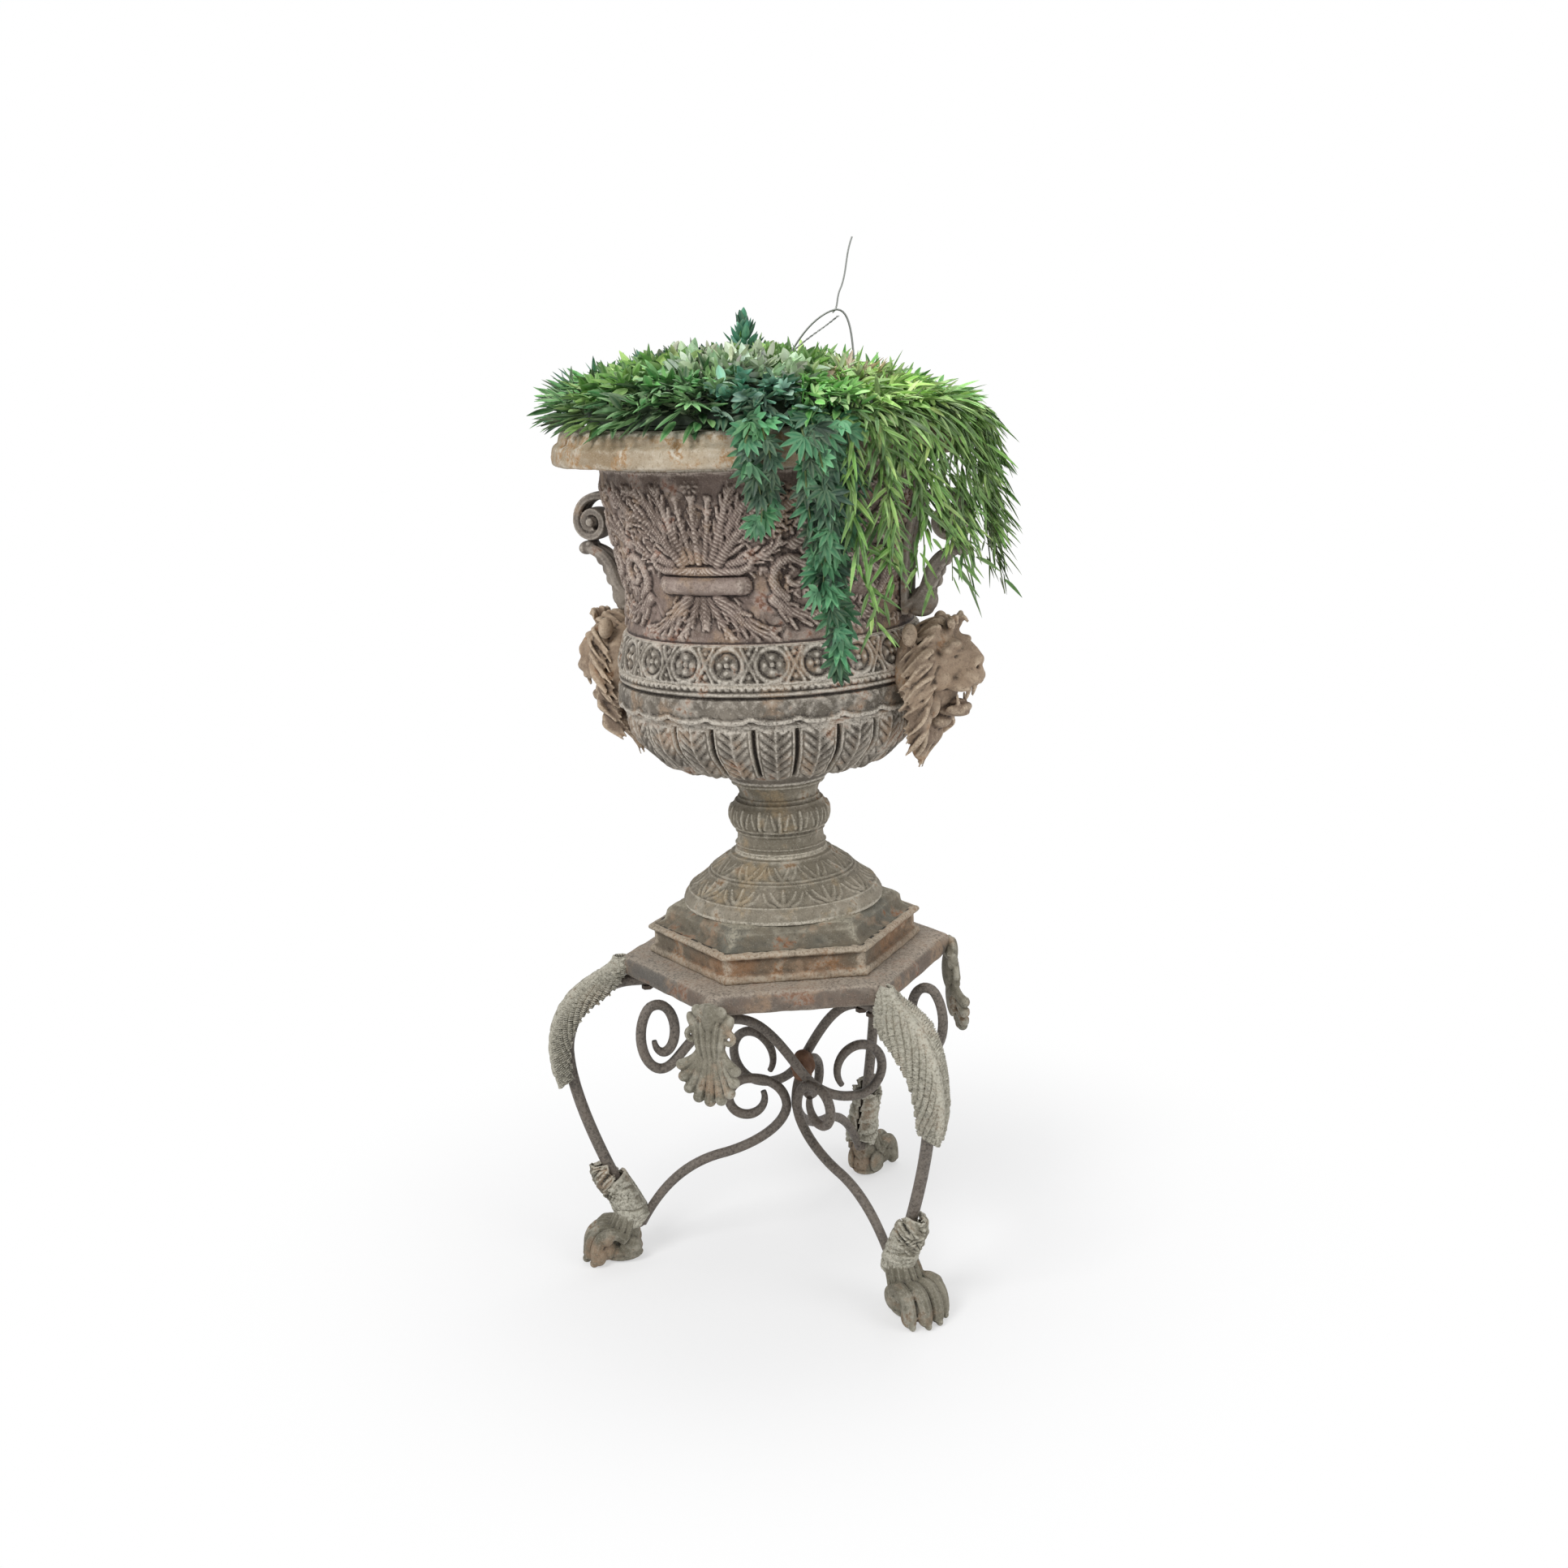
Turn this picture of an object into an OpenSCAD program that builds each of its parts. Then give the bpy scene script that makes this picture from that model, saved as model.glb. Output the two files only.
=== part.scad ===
// Garden urn: a cast campana urn with lion masks, standing loose on a forged and cast
// three-legged stand, with a hanging basket of greenery set in its mouth.
// Millimetres, +Z up. The origin is on the floor below the axis of the urn.
// An azimuth of 0 is the front (-Y) and 90 is the right (+X).

/* [Stand] */
// Height of the stand's top plate above the floor
stand_h = 428; // [380:1:520]
// Corner radius of the hexagonal top plate
plate_r = 218; // [205:1:240]
// Depth of the plate's edge
plate_t = 28; // [24:1:34]
// Thickness of the plate's web
plate_web = 8; // [6:1:12]
// Thickness of the plate's skirt
plate_skirt = 12; // [10:1:16]
// Radius of the drain hole in the plate
drain_r = 15; // [10:1:25]
// Azimuth of the left leg
stand_turn = -86; // [-95:1:-80]
// Thickness of a leg's bar
leg_bar = 16; // [14:1:18]
// How far a knee stands out beyond the plate's corner
knee_out = 74; // [60:1:90]
// Height of the knees as a share of the height under the plate
knee_share = 0.75; // [0.7:0.01:0.8]
// How far the middle of a foot stands out beyond the plate's corner
foot_out = 51; // [40:1:65]
// Half the width of a knee leaf
leaf_half = 30; // [24:1:36]
// Thickness of a knee leaf over the bar
leaf_t = 4; // [3:0.5:6]
// Length of a paw behind its middle
paw_back = 56; // [52:1:62]
// Length of a paw in front of its middle
paw_front = 32; // [28:1:40]
// Half the width of a paw
paw_half = 30; // [26:1:34]
// Height of a paw
paw_h = 57; // [53:1:61]

/* [Scrolls] */
// Thickness of a scroll's bar
scroll_bar = 13; // [11:0.5:14]
// Depth of the scrolls' crossing below the plate's underside
crossing_drop = 143; // [130:1:160]
// Distance of each S-scroll's plane from the axis
scroll_side = 30; // [27:1:34]
// Azimuth that the first S-scroll runs towards
scroll_heading = 114; // [111:1:117]
// Radius of the curl of a lower scroll
curl_r = 27; // [25:1:29]
// Radius of the inner curl of an S-scroll
inner_curl_r = 34; // [31:1:36]
// Height of the outer curl of an S-scroll
outer_curl_h = 90; // [82:1:98]
// Width of the outer curl of an S-scroll
outer_curl_w = 54; // [50:1:60]
// Diameter of the boss that ties the S-scrolls
boss_d = 32; // [26:1:36]
// Length of a shell pendant
shell_h = 103; // [90:1:115]
// Half the width of a shell pendant
shell_half = 39; // [34:1:44]
// Thickness of a shell pendant
shell_t = 10; // [8:1:13]

/* [Urn] */
// Corner radius of the hexagonal plinth
plinth_r = 178; // [170:1:190]
// Height of the plinth's lower step
step_low = 40; // [34:1:46]
// Height of the plinth's upper step
step_up = 24; // [18:1:30]
// How far the upper step stands back at its corners
step_in = 28; // [24:1:32]
// Height of the domed foot
dome_h = 67; // [58:1:76]
// Radius of the domed foot at its edge
dome_r = 127; // [120:1:128]
// Height of the stem
stem_h = 94; // [82:1:110]
// Radius of the stem's ends
stem_r = 57; // [52:1:62]
// Radius of the stem's knop
knop_r = 65; // [60:1:70]
// Height of the gadrooned bowl
bowl_h = 98; // [86:1:112]
// Height of the waisted body
body_h = 300; // [260:1:340]
// Radius of the body's belly
belly_r = 194; // [188:1:200]
// Radius of the body's waist
waist_r = 175; // [168:1:181]
// Radius of the body under the rim
neck_r = 201; // [196:1:208]
// Height of the rim
rim_h = 47; // [40:1:56]
// Radius of the rim's edge
rim_r = 257; // [248:1:266]
// Radius of the mouth
mouth_r = 190; // [184:1:194]
// Thickness of the bolsters under the palmettes
bolster_t = 23; // [18:1:28]
// Thickness of the cast walls
wall = 8; // [6:0.5:10]
// Azimuth of the right lion mask
mask_turn = 65; // [55:1:75]
// Reach of a lion's muzzle from the urn's axis
muzzle_r = 280; // [272:1:290]
// Reach of a handle from the urn's axis
handle_r = 268; // [262:1:274]
// Width of a handle
handle_w = 34; // [28:1:40]
// Thickness of a handle's scroll
handle_t = 9; // [7:0.5:11]
// Diameter of the tie rod
rod_d = 10; // [8:1:12]
// Diameter of the bolts
bolt_d = 8; // [6:1:9]
// Clearance between neighbouring pieces
gap = 0.3; // [0.2:0.05:0.4]

/* [Planting] */
// Diameter of the basket's rim wire
ring_d = 6; // [5:0.5:8]
// Radius of the basket's rim
ring_r = 204; // [198:1:212]
// Depth of the basket below the urn's rim
basket_deep = 170; // [150:1:185]
// Thickness of the basket's liner
liner_t = 7; // [5:1:10]
// Radius of the mound of leaves to the sides
mound_x = 292; // [284:1:305]
// Radius of the mound of leaves to the front and back
mound_y = 283; // [275:1:295]
// Height of the mound of leaves
mound_h = 76; // [66:1:90]
// Height of the tufts on the mound of leaves
tuft_h = 7; // [4:0.5:10]
// Height of the sprig on the mound
sprig_h = 50; // [40:1:60]
// Length of the dark trailing leaves
trail_dark_h = 295; // [250:1:320]
// Length of the light trailing leaves
trail_light_h = 250; // [200:1:280]
// Outer radius of the trailing leaves
trail_r = 306; // [298:1:312]
// Diameter of the hanger's wire
wire_d = 3; // [2.5:0.5:4]
// Height of the hanger's eye above the urn's rim
eye_h = 127; // [115:1:140]
// Height of the hook above the hanger's eye
hook_h = 86; // [70:1:95]

/* [Hidden] */

iron = "#8a7f70";
bar_iron = "#4f4b47";
pale_iron = "#a39a88";
rust = "#9a6a45";
leaf_dark = "#1f5c40";
leaf_light = "#6fa53a";
leaf_mid = "#3b7a3a";

under_z = stand_h - plate_t;
apothem = plate_r * cos(30);
foot_r = plate_r + foot_out;
knee_r = plate_r + knee_out;
knee_z = knee_share * under_z;
crossing_z = under_z - crossing_drop;
dome_z = stand_h + step_low + step_up;
stem_z = dome_z + dome_h;
bowl_z = stem_z + stem_h;
body_z = bowl_z + bowl_h;
rim_z = body_z + body_h;
top_z = rim_z + rim_h;
tang = 54;          // length of a leg's straight end under the plate
leaf_start = 14;    // where a leg begins to bend, inside the plate's corner
half_turn = 22.5;   // half the step of an eight-sided bar
bar_slack = 1 / cos(half_turn);
mask_z = body_z + 56;
handle_z = rim_z - 74;
bolster_share = 0.563;   // height of the bolsters, as a share of the body's
flange_n = 6;
flange_in = belly_r - wall - 34;   // inner radius of the flanges inside the bowl and the body
flange_mid = flange_in + 8;
head_h = 5;
washer_r = 26;
washer_t = 4;
mound_z = top_z + ring_d + gap;
n_bar = 8;          // rings along each curved stretch of a bar

// Curves and sweeps

function bez(p, k, t) = pow(1 - t, 3) * p[k] + 3 * pow(1 - t, 2) * t * p[k + 1]
    + 3 * (1 - t) * t * t * p[k + 2] + pow(t, 3) * p[k + 3];
function chain(p, n) = concat(
    [for (k = [0:3:len(p) - 4]) for (i = [0:n - 1]) bez(p, k, i / n)], [p[len(p) - 1]]);
function part_of(p, n, i0, i1) = stretch(chain(p, n), i0, i1);
function heading(p, i) = let (d = p[min(i + 1, len(p) - 1)] - p[max(i - 1, 0)]) d / norm(d);
function ngon(r, n) = [for (k = [0:n - 1]) r * [cos(360 * (k + 0.5) / n), sin(360 * (k + 0.5) / n)]];
function oval(a, b, c, n) = [for (k = [0:n - 1]) [a * cos(360 * k / n), c + b * sin(360 * k / n)]];
function ring(p, t, s) = [for (q = s) [p[0] - t[1] * q[1], q[0], p[1] + t[0] * q[1]]];
function rings(p, s) = [for (i = [0:len(p) - 1]) ring(p[i], heading(p, i), s[i])];
function spiral(c, r0, r1, a0, a1, n) = [for (i = [0:n])
    c + (r0 + (r1 - r0) * i / n) * [cos(a0 + (a1 - a0) * i / n), sin(a0 + (a1 - a0) * i / n)]];
function flat(l) = [for (a = l) for (b = a) b];
function inset(p, d) = [for (i = [0:len(p) - 1]) let (t = heading(p, i)) p[i] + d * [-t[1], t[0]]];
function back(p) = [for (i = [len(p) - 1:-1:0]) p[i]];
function stretch(p, i0, i1) = [for (i = [i0:i1]) p[i]];

// Closes a skin over a row of outlines that have as many points each
module loft(r) {
    n = len(r);
    m = len(r[0]);
    last = (n - 1) * m;
    sides = [for (i = [0:n - 2]) for (j = [0:m - 1])
        let (a = i * m + j, b = i * m + (j + 1) % m) each [[a, b + m, b], [a, a + m, b + m]]];
    first = [for (k = [0:m / 2 - 2]) each [[k, k + 1, m - 2 - k], [k, m - 2 - k, m - 1 - k]]];
    end = [for (k = [0:m / 2 - 2]) each [[last + k, last + m - 2 - k, last + k + 1],
        [last + k, last + m - 1 - k, last + m - 2 - k]]];
    polyhedron(points = flat(r), faces = concat(sides, first, end), convexity = 8);
}

// A bar of even thickness along a path in the XZ plane
module bar(p, d) {
    loft(rings(p, [for (i = p) ngon(d / 2 * bar_slack, 8)]));
}

module at(azimuth) {
    rotate([0, 0, azimuth - 90]) children();
}

module hexagon(r, h) {
    cylinder(r = r, h = h, $fn = 6);
}

module hex_head(af, h) {
    cylinder(r = af / 2 / cos(30), h = h, $fn = 6);
}

// Stand

leg_line = [[plate_r - leaf_start - tang, under_z - leg_bar / 2],
    [plate_r - leaf_start - tang * 2 / 3, under_z - leg_bar / 2],
    [plate_r - leaf_start - tang / 3, under_z - leg_bar / 2],
    [plate_r - leaf_start, under_z - leg_bar / 2],
    [plate_r + 27, under_z - leg_bar / 2], [knee_r - 2, knee_z + 56], [knee_r, knee_z],
    [knee_r + 1, knee_z - 64], [foot_r - 18, paw_h + 71], [foot_r - 57, 45]];
leg_path = chain(leg_line, n_bar);

lower_line = [[foot_r - 58, 47], [foot_r - 86, 98], [foot_r - 122, 131],
    [0.35 * foot_r, crossing_z - 117], [50, crossing_z - 107], [13, crossing_z - 84],
    [scroll_bar * 0.68, crossing_z - 57], [scroll_bar * 0.68, crossing_z - 32],
    [28, crossing_z - scroll_bar - 1], [60, crossing_z - scroll_bar - 1]];
curl_c = [60, crossing_z - scroll_bar - 1 - curl_r];
lower_path = concat(chain(lower_line, n_bar), [for (i = [1:14])
    spiral(curl_c, curl_r, curl_r - 5, 90, -200, 14)[i]]);

// The S-scroll runs from its outer curl, over its arc, through the crossing to its inner curl
outer_c = [-(apothem + 2), under_z - scroll_bar / 2 - outer_curl_h / 2];
arc_z = under_z - 49;
inner_c = [84, crossing_z - 12];

function outer_curl(a) = let (f = 1 - 0.62 * pow(max(-a - 240, 0) / 280, 0.8))
    outer_c + f / 2 * [outer_curl_w * cos(a), outer_curl_h * sin(a)];

s_line = [outer_c - [0, outer_curl_h / 2], outer_c + [22, -outer_curl_h / 2], [-152, arc_z - 2], [-105, arc_z],
    [-62, arc_z], [-40, crossing_z + 66], [-2, crossing_z + 5],
    [20, crossing_z - 30], [48, inner_c[1] - inner_curl_r - 3], inner_c - [0, inner_curl_r + 3]];
s_path = concat([for (i = [0:19]) outer_curl(-520 + 430 * i / 20)], chain(s_line, 7), [for (i = [1:14])
    spiral(inner_c, inner_curl_r + 3, inner_curl_r - 3, -90, 215, 14)[i]]);
s_crossing = 20 + 2 * 7;   // the ring of the path at the crossing

module stand_top_plate() {
    color(iron) at(stand_turn) difference() {
        union() {
            difference() {
                translate([0, 0, under_z]) hexagon(plate_r, plate_t);
                translate([0, 0, under_z - 1])
                    hexagon(plate_r - plate_skirt / cos(30), plate_t - plate_web + 1);
            }
            for (k = [0:2]) rotate([0, 0, 120 * k])
                translate([plate_r - leaf_start - tang, -leg_bar, under_z])
                    cube([tang - plate_skirt, 2 * leg_bar, plate_t - plate_web + 1]);
        }
        translate([0, 0, under_z - 1]) cylinder(r = drain_r, h = plate_t + 2, $fn = 48);
        for (k = [0:2]) rotate([0, 0, 120 * k]) leg_bolt_places()
            translate([0, 0, under_z - 1]) cylinder(d = bolt_d + 2 * gap, h = 15 + gap + 1, $fn = 24);
    }
}

module leg_bolt_places() {
    for (s = [0.22, 0.62])
        translate([plate_r - leaf_start - tang * (1 - s), 0, 0]) children();
}

module leg_bar_form() {
    bar(leg_path, leg_bar);
}

module leg_bar_at(k) {
    color(bar_iron) at(stand_turn + 120 * k) difference() {
        leg_bar_form();
        leg_bolt_places() translate([0, 0, under_z - leg_bar - 1])
            cylinder(d = bolt_d + 2 * gap, h = leg_bar + 2, $fn = 24);
    }
}

module leg_bolts() {
    color(bar_iron) for (k = [0:2]) at(stand_turn + 120 * k) leg_bolt_places() {
        translate([0, 0, under_z - leg_bar - head_h - gap / 2]) hex_head(13, head_h);
        translate([0, 0, under_z - leg_bar - gap / 2]) cylinder(d = bolt_d, h = leg_bar + 15, $fn = 24);
    }
}

// Half width and height over the bar of the knee leaf at each ring
leaf_form = [for (i = [0:9]) let (u = i / 9)
    [leaf_half * (0.5 + 0.5 * sin(180 * pow(u, 0.7))), leg_bar / 2 + leaf_t + 5 * u * u]];

function leaf_section(b, c) = let (m = 9, in = leg_bar / 2 * bar_slack + gap + 0.1) concat(
    [for (k = [0:m - 1]) let (a = -15 + 210 * k / (m - 1)) [b * cos(a), c * sin(a)]],
    [for (k = [m - 1:-1:0]) let (a = -15 + 210 * k / (m - 1))
        [max(b - leaf_t, in) * cos(a), in * sin(a)]]);

module knee_leaf(k) {
    color(pale_iron) at(stand_turn + 120 * k)
        loft(rings(part_of(leg_line, n_bar, n_bar + 1, n_bar + 10),
            [for (f = leaf_form) leaf_section(f[0], f[1])]));
}

// Half width and half depth of the leafy cuff on the outside of the ankle
cuff_form = [[6, 4], [11, 7], [14, 9], [14, 9], [12, 8], [13, 9], [15, 10], [16, 10]];

module cuff_form_solid() {
    in = leg_bar / 2 * bar_slack + gap;
    p = part_of(leg_line, 3 * n_bar, 8 * n_bar, 9 * n_bar - 1);
    loft(rings(p, [for (f = cuff_form) oval(f[0], f[1], in + f[1], 10)]));
}

module ankle_cuff(k) {
    color(pale_iron) at(stand_turn + 120 * k) difference() {
        cuff_form_solid();
        translate([0, 0, gap]) paw_form();
    }
}

// Place along the foot, half width and height of the paw at each outline
paw_rows = [[-paw_back, 0.5, 0.55], [-paw_back + 9, 0.7, 0.88], [-paw_back + 20, 0.8, 1],
    [-24, 0.84, 1], [-14, 0.88, 0.97], [-4, 0.96, 0.9], [8, 1, 0.82],
    [18, 0.97, 0.68], [paw_front - 6, 0.86, 0.48], [paw_front, 0.66, 0.26]];

function paw_top(x, y, h) = let (toe = x > -14 ? 0.16 : 0)
    h * (0.3 + 0.7 * pow(max(1 - y * y, 0), 0.45) - toe * pow(cos(360 * y), 2) * (1 - y * y));

module paw_form() {
    m = 13;
    loft([for (r = paw_rows) concat(
        [for (k = [0:m - 1]) [foot_r + r[0], 0.72 * paw_half * r[1] * (-1 + 2 * k / (m - 1)), 3]],
        [for (k = [m - 1:-1:0]) let (y = -1 + 2 * k / (m - 1))
            [foot_r + r[0], paw_half * r[1] * y, paw_top(r[0], y, paw_h * r[2])]])]);
    translate([foot_r, 0, 0]) cylinder(r = 0.62 * paw_half, h = 8, $fn = 48);
}

module paw_foot(k) {
    color(pale_iron) at(stand_turn + 120 * k) difference() {
        paw_form();
        bar(leg_path, leg_bar + 2 * gap);
        bar(lower_path, scroll_bar + 2 * gap);
    }
}

// The heel of a lower scroll is filed to its leg, and its curl is notched where an S-scroll crosses it
module lower_scroll(k) {
    color(bar_iron) at(stand_turn + 120 * k) difference() {
        bar(lower_path, scroll_bar);
        bar(stretch(leg_path, len(leg_path) - 6, len(leg_path) - 1), leg_bar + 2 * gap);
        for (j = [0:1]) rotate([0, 0, scroll_heading - stand_turn + 120 * (j - k)])
            translate([0, -scroll_side, 0])
                bar(stretch(s_path, s_crossing - 5, s_crossing + 6), scroll_bar + 2 * gap);
    }
}

module s_scroll(k) {
    color(bar_iron) at(scroll_heading + 120 * k) translate([0, -scroll_side, 0]) bar(s_path, scroll_bar);
}

// The boss fills the space between the two S-scrolls where they cross near the axis
module centre_boss() {
    color(rust) at(scroll_heading + 60) difference() {
        translate([0, -scroll_side * cos(60), crossing_z]) rotate([0, 90, 0])
            cylinder(d = boss_d, h = 2 * scroll_side * sin(60), center = true, $fn = 32);
        for (k = [0:1]) rotate([0, 0, 120 * k - 60]) translate([0, -scroll_side, 0])
            bar(stretch(s_path, s_crossing - 5, s_crossing + 6), scroll_bar + 2 * gap);
        for (k = [0:2]) rotate([0, 0, stand_turn - scroll_heading - 60 + 120 * k])
            bar(stretch(lower_path, 16, 30), scroll_bar + 2 * gap);
    }
}

// Depth below the plate, half width and distance from the plate's corner of a shell's outlines
shell_rows = [[1, 0.56, 18], [0.94, 0.88, 10], [0.85, 1, 2], [0.74, 0.92, 0], [0.6, 0.7, 5],
    [0.46, 0.44, 8], [0.29, 0.38, 3], [0.12, 0.45, -5], [0, 0.5, -10]];

module shell(k) {
    m = 15;
    color(pale_iron) at(stand_turn + 60 + 120 * k) loft([for (r = shell_rows)
        let (z = under_z - gap / 2 - shell_h * r[0], w = shell_half * r[1], x = plate_r + r[2]) concat(
            [for (j = [0:m - 1]) let (y = -1 + 2 * j / (m - 1))
                [x + shell_t / 2 - 7 * y * y + 2 * cos(180 * j), w * y, z]],
            [for (j = [m - 1:-1:0]) let (y = -1 + 2 * j / (m - 1))
                [x - shell_t / 2 - 7 * y * y, w * y, z]])]);
}

// Urn

module plinth() {
    color(iron) at(stand_turn) difference() {
        union() {
            translate([0, 0, stand_h]) hexagon(plinth_r, step_low - 4);
            translate([0, 0, stand_h + step_low - 4]) hexagon(plinth_r - 5, 4);
            translate([0, 0, stand_h + step_low]) hexagon(plinth_r - step_in, step_up);
        }
        translate([0, 0, stand_h - 1])
            hexagon(plinth_r - step_in - 2 * wall, step_low + step_up - wall + 1);
        translate([0, 0, dome_z - wall - 1]) cylinder(d = rod_d + 2 * gap, h = wall + 2, $fn = 32);
    }
}

dome_line = [[dome_r, 0], [dome_r + 2, 3], [dome_r + 2, 9], [dome_r - 3, 15],
    [dome_r - 8, 20], [0.79 * dome_r, 0.49 * dome_h], [0.72 * dome_r, 0.64 * dome_h],
    [0.65 * dome_r, 0.76 * dome_h], [0.54 * dome_r, 0.88 * dome_h], [stem_r, dome_h]];

module dome_foot() {
    out = chain(dome_line, 5);
    skin = inset(out, wall);
    n = len(out);
    color(iron) translate([0, 0, dome_z]) rotate_extrude($fn = 96) polygon(concat(out,
        [[rod_d / 2 + gap, dome_h], [rod_d / 2 + gap, dome_h - wall], [stem_r - wall, dome_h - wall]],
        [for (i = [n - 3:-1:1]) skin[i]], [[dome_r - wall, 0]]));
}

stem_line = [[stem_r, 0], [stem_r + 1, 8], [stem_r - 2, 12], [stem_r - 2, 20],
    [stem_r - 2, 0.3 * stem_h], [stem_r, 0.32 * stem_h], [stem_r + 3, 0.36 * stem_h],
    [knop_r + 1, 0.44 * stem_h], [knop_r + 1, 0.58 * stem_h], [stem_r + 1, 0.66 * stem_h],
    [stem_r - 9, 0.72 * stem_h], [stem_r - 11, 0.84 * stem_h], [stem_r + 5, stem_h]];

module stem() {
    out = chain(stem_line, 4);
    inner = stem_r - 3 * wall;
    color(iron) translate([0, 0, stem_z]) rotate_extrude($fn = 96)
        polygon(concat(out, [[inner, stem_h], [inner, 0]]));
}

bowl_line = [[stem_r + 5, 0], [stem_r + 20, 0.25 * bowl_h], [0.69 * belly_r, 0.21 * bowl_h],
    [0.78 * belly_r, 0.44 * bowl_h], [0.84 * belly_r, 0.57 * bowl_h],
    [0.94 * belly_r, 0.66 * bowl_h], [belly_r - 14, bowl_h]];

module flange_places(z) {
    for (k = [0:flange_n - 1]) rotate([0, 0, 360 * (k + 0.5) / flange_n])
        translate([flange_mid, 0, z]) children();
}

module bowl() {
    out = chain(bowl_line, 6);
    skin = inset(out, wall);
    n = len(out);
    color(iron) translate([0, 0, bowl_z]) difference() {
        rotate_extrude($fn = 96) polygon(concat([[rod_d / 2 + gap, 0]], out,
            [[flange_in, bowl_h], [flange_in, bowl_h - wall], [belly_r - 15 - wall, bowl_h - wall]],
            [for (i = [n - 3:-1:1]) skin[i]], [[stem_r, wall], [rod_d / 2 + gap, wall]]));
        flange_places(bowl_h - wall - 1) cylinder(d = bolt_d + 2 * gap, h = wall + 2, $fn = 24);
    }
}

body_line = [[belly_r - 10, 0], [belly_r - 1, 6], [belly_r, 18], [belly_r, 28],
    [belly_r, 33], [belly_r - 3, 35], [belly_r - 3, 40],
    [belly_r - 3, 75], [waist_r, 100], [waist_r, 132],
    [waist_r, 175], [neck_r - 4, 0.8 * body_h], [neck_r, body_h]];
body_out = chain(body_line, 6);
urn_rows = concat([for (q = chain(bowl_line, 6)) if (q[1] < bowl_h) [q[1] + bowl_z, q[0]]],
    [for (q = body_out) [q[1] + body_z, q[0]]]);
function urn_at(z) = lookup(z, urn_rows);
function urn_clear(z) = max([for (d = [-4:2:4]) urn_at(z + d)]) + gap + 0.5;

// A place on the body's wall: sideways from the middle of a panel, up from the body's foot, proud of it
function on_wall(u, z, h) = let (r = urn_at(body_z + z) + h, a = u / (belly_r - 7) * 180 / PI)
    [r * cos(a), r * sin(a), z];

// A ridge along such places, with a half width at each end and a height
module ridge(p, wide, high) {
    n = len(p) - 1;
    loft([for (i = [0:n]) let (t = heading(p, i), w = wide[0] + (wide[1] - wide[0]) * i / n,
        h = high * (i == 0 || i == n ? 0.6 : 1))
        [for (q = [[1, -3], [0.6, 0.75 * h], [0, h], [-0.6, 0.75 * h], [-1, -3], [0, -4]])
            on_wall(p[i][0] - t[1] * w * q[0], p[i][1] + t[0] * w * q[0], q[1])]]);
}

// Places of a panel are sideways and up from its bolster, and move with the height of the body
function placed(p, side) = [for (q = p) [side * q[0], body_h * (bolster_share + q[1] / 300)]];

// Path, half widths and height of the leaves and volutes on one side of a bolster
panel_side = [
    [[[14, 35], [24, 60], [29, 90], [30, 112]], [5, 6], 5],
    [[[34, 36], [46, 58], [66, 80], [97, 88]], [8, 15], 6],
    [[[20, -15], [38, -34], [60, -54], [84, -62]], [8, 12], 6],
    [[[118, 50], [136, 63], [154, 66], [172, 56]], [8, 12], 6],
    [[[94, -20], [112, -30], [136, -36], [158, -28]], [7, 12], 5],
    [[[190, 38], [206, 62], [226, 78]], [8, 12], 5],
    [[[168, -14], [172, 12], [180, 32]], [14, 10], 5],
    [spiral([110, 10], 25, 15, 235, -60, 9), [6, 5], 6]];

module palmette_panel() {
    ridge(placed([for (u = [-58:14.5:58]) [u, 0]], 1), [bolster_t / 2, bolster_t / 2], bolster_t / 2 + 1);
    ridge(placed([for (u = [-70:20:70]) [u, 19 + 0.0008 * u * u]], 1), [5, 5], 7);
    ridge(placed([[0, 36], [0, 58], [0, 80], [0, 101]], 1), [6, 8], 5);
    for (side = [-1, 1]) for (p = panel_side) ridge(placed(p[0], side), p[1], p[2]);
}

module urn_body() {
    skin = [for (q = body_out) q - [wall, 0]];
    color(iron) translate([0, 0, body_z]) difference() {
        union() {
            rotate_extrude($fn = 96) polygon(concat([[flange_in, 0]], body_out,
                back([for (q = skin) if (q[1] > wall) q]), [[belly_r - 10 - wall, wall], [flange_in, wall]]));
            for (m = [90, 270]) at(mask_turn + m) palmette_panel();
        }
        flange_places(-1) cylinder(d = bolt_d + 2 * gap, h = wall + 2, $fn = 24);
        for (m = [0, 180]) at(mask_turn + m) {
            mask_bolt_places() bolt_hole();
            handle_bolt_place() bolt_hole();
        }
    }
}

module bolt_hole() {
    translate([0, 0, -10]) cylinder(d = bolt_d + 2 * gap, h = wall + 20, $fn = 24);
}

// Bolts run outwards from the wall's inner face: a mask has two and a handle one
function wall_face(z) = min([for (d = [-8:2:8]) urn_at(z + d)]) - wall - gap;

module mask_bolt_places() {
    for (z = [mask_z - 20, mask_z + 12])
        translate([wall_face(z), 0, z - body_z]) rotate([0, 90, 0]) children();
}

module handle_bolt_place() {
    translate([wall_face(handle_z), 0, handle_z - body_z]) rotate([0, 90, 0]) children();
}

rim_line = [[rim_r - 2, 0], [rim_r, 2], [rim_r, 8], [rim_r, 15],
    [rim_r, 20], [rim_r - 8, 22], [rim_r - 8, 27],
    [rim_r - 8, 34], [rim_r - 17, 35], [rim_r - 17, rim_h - 8]];

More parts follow.
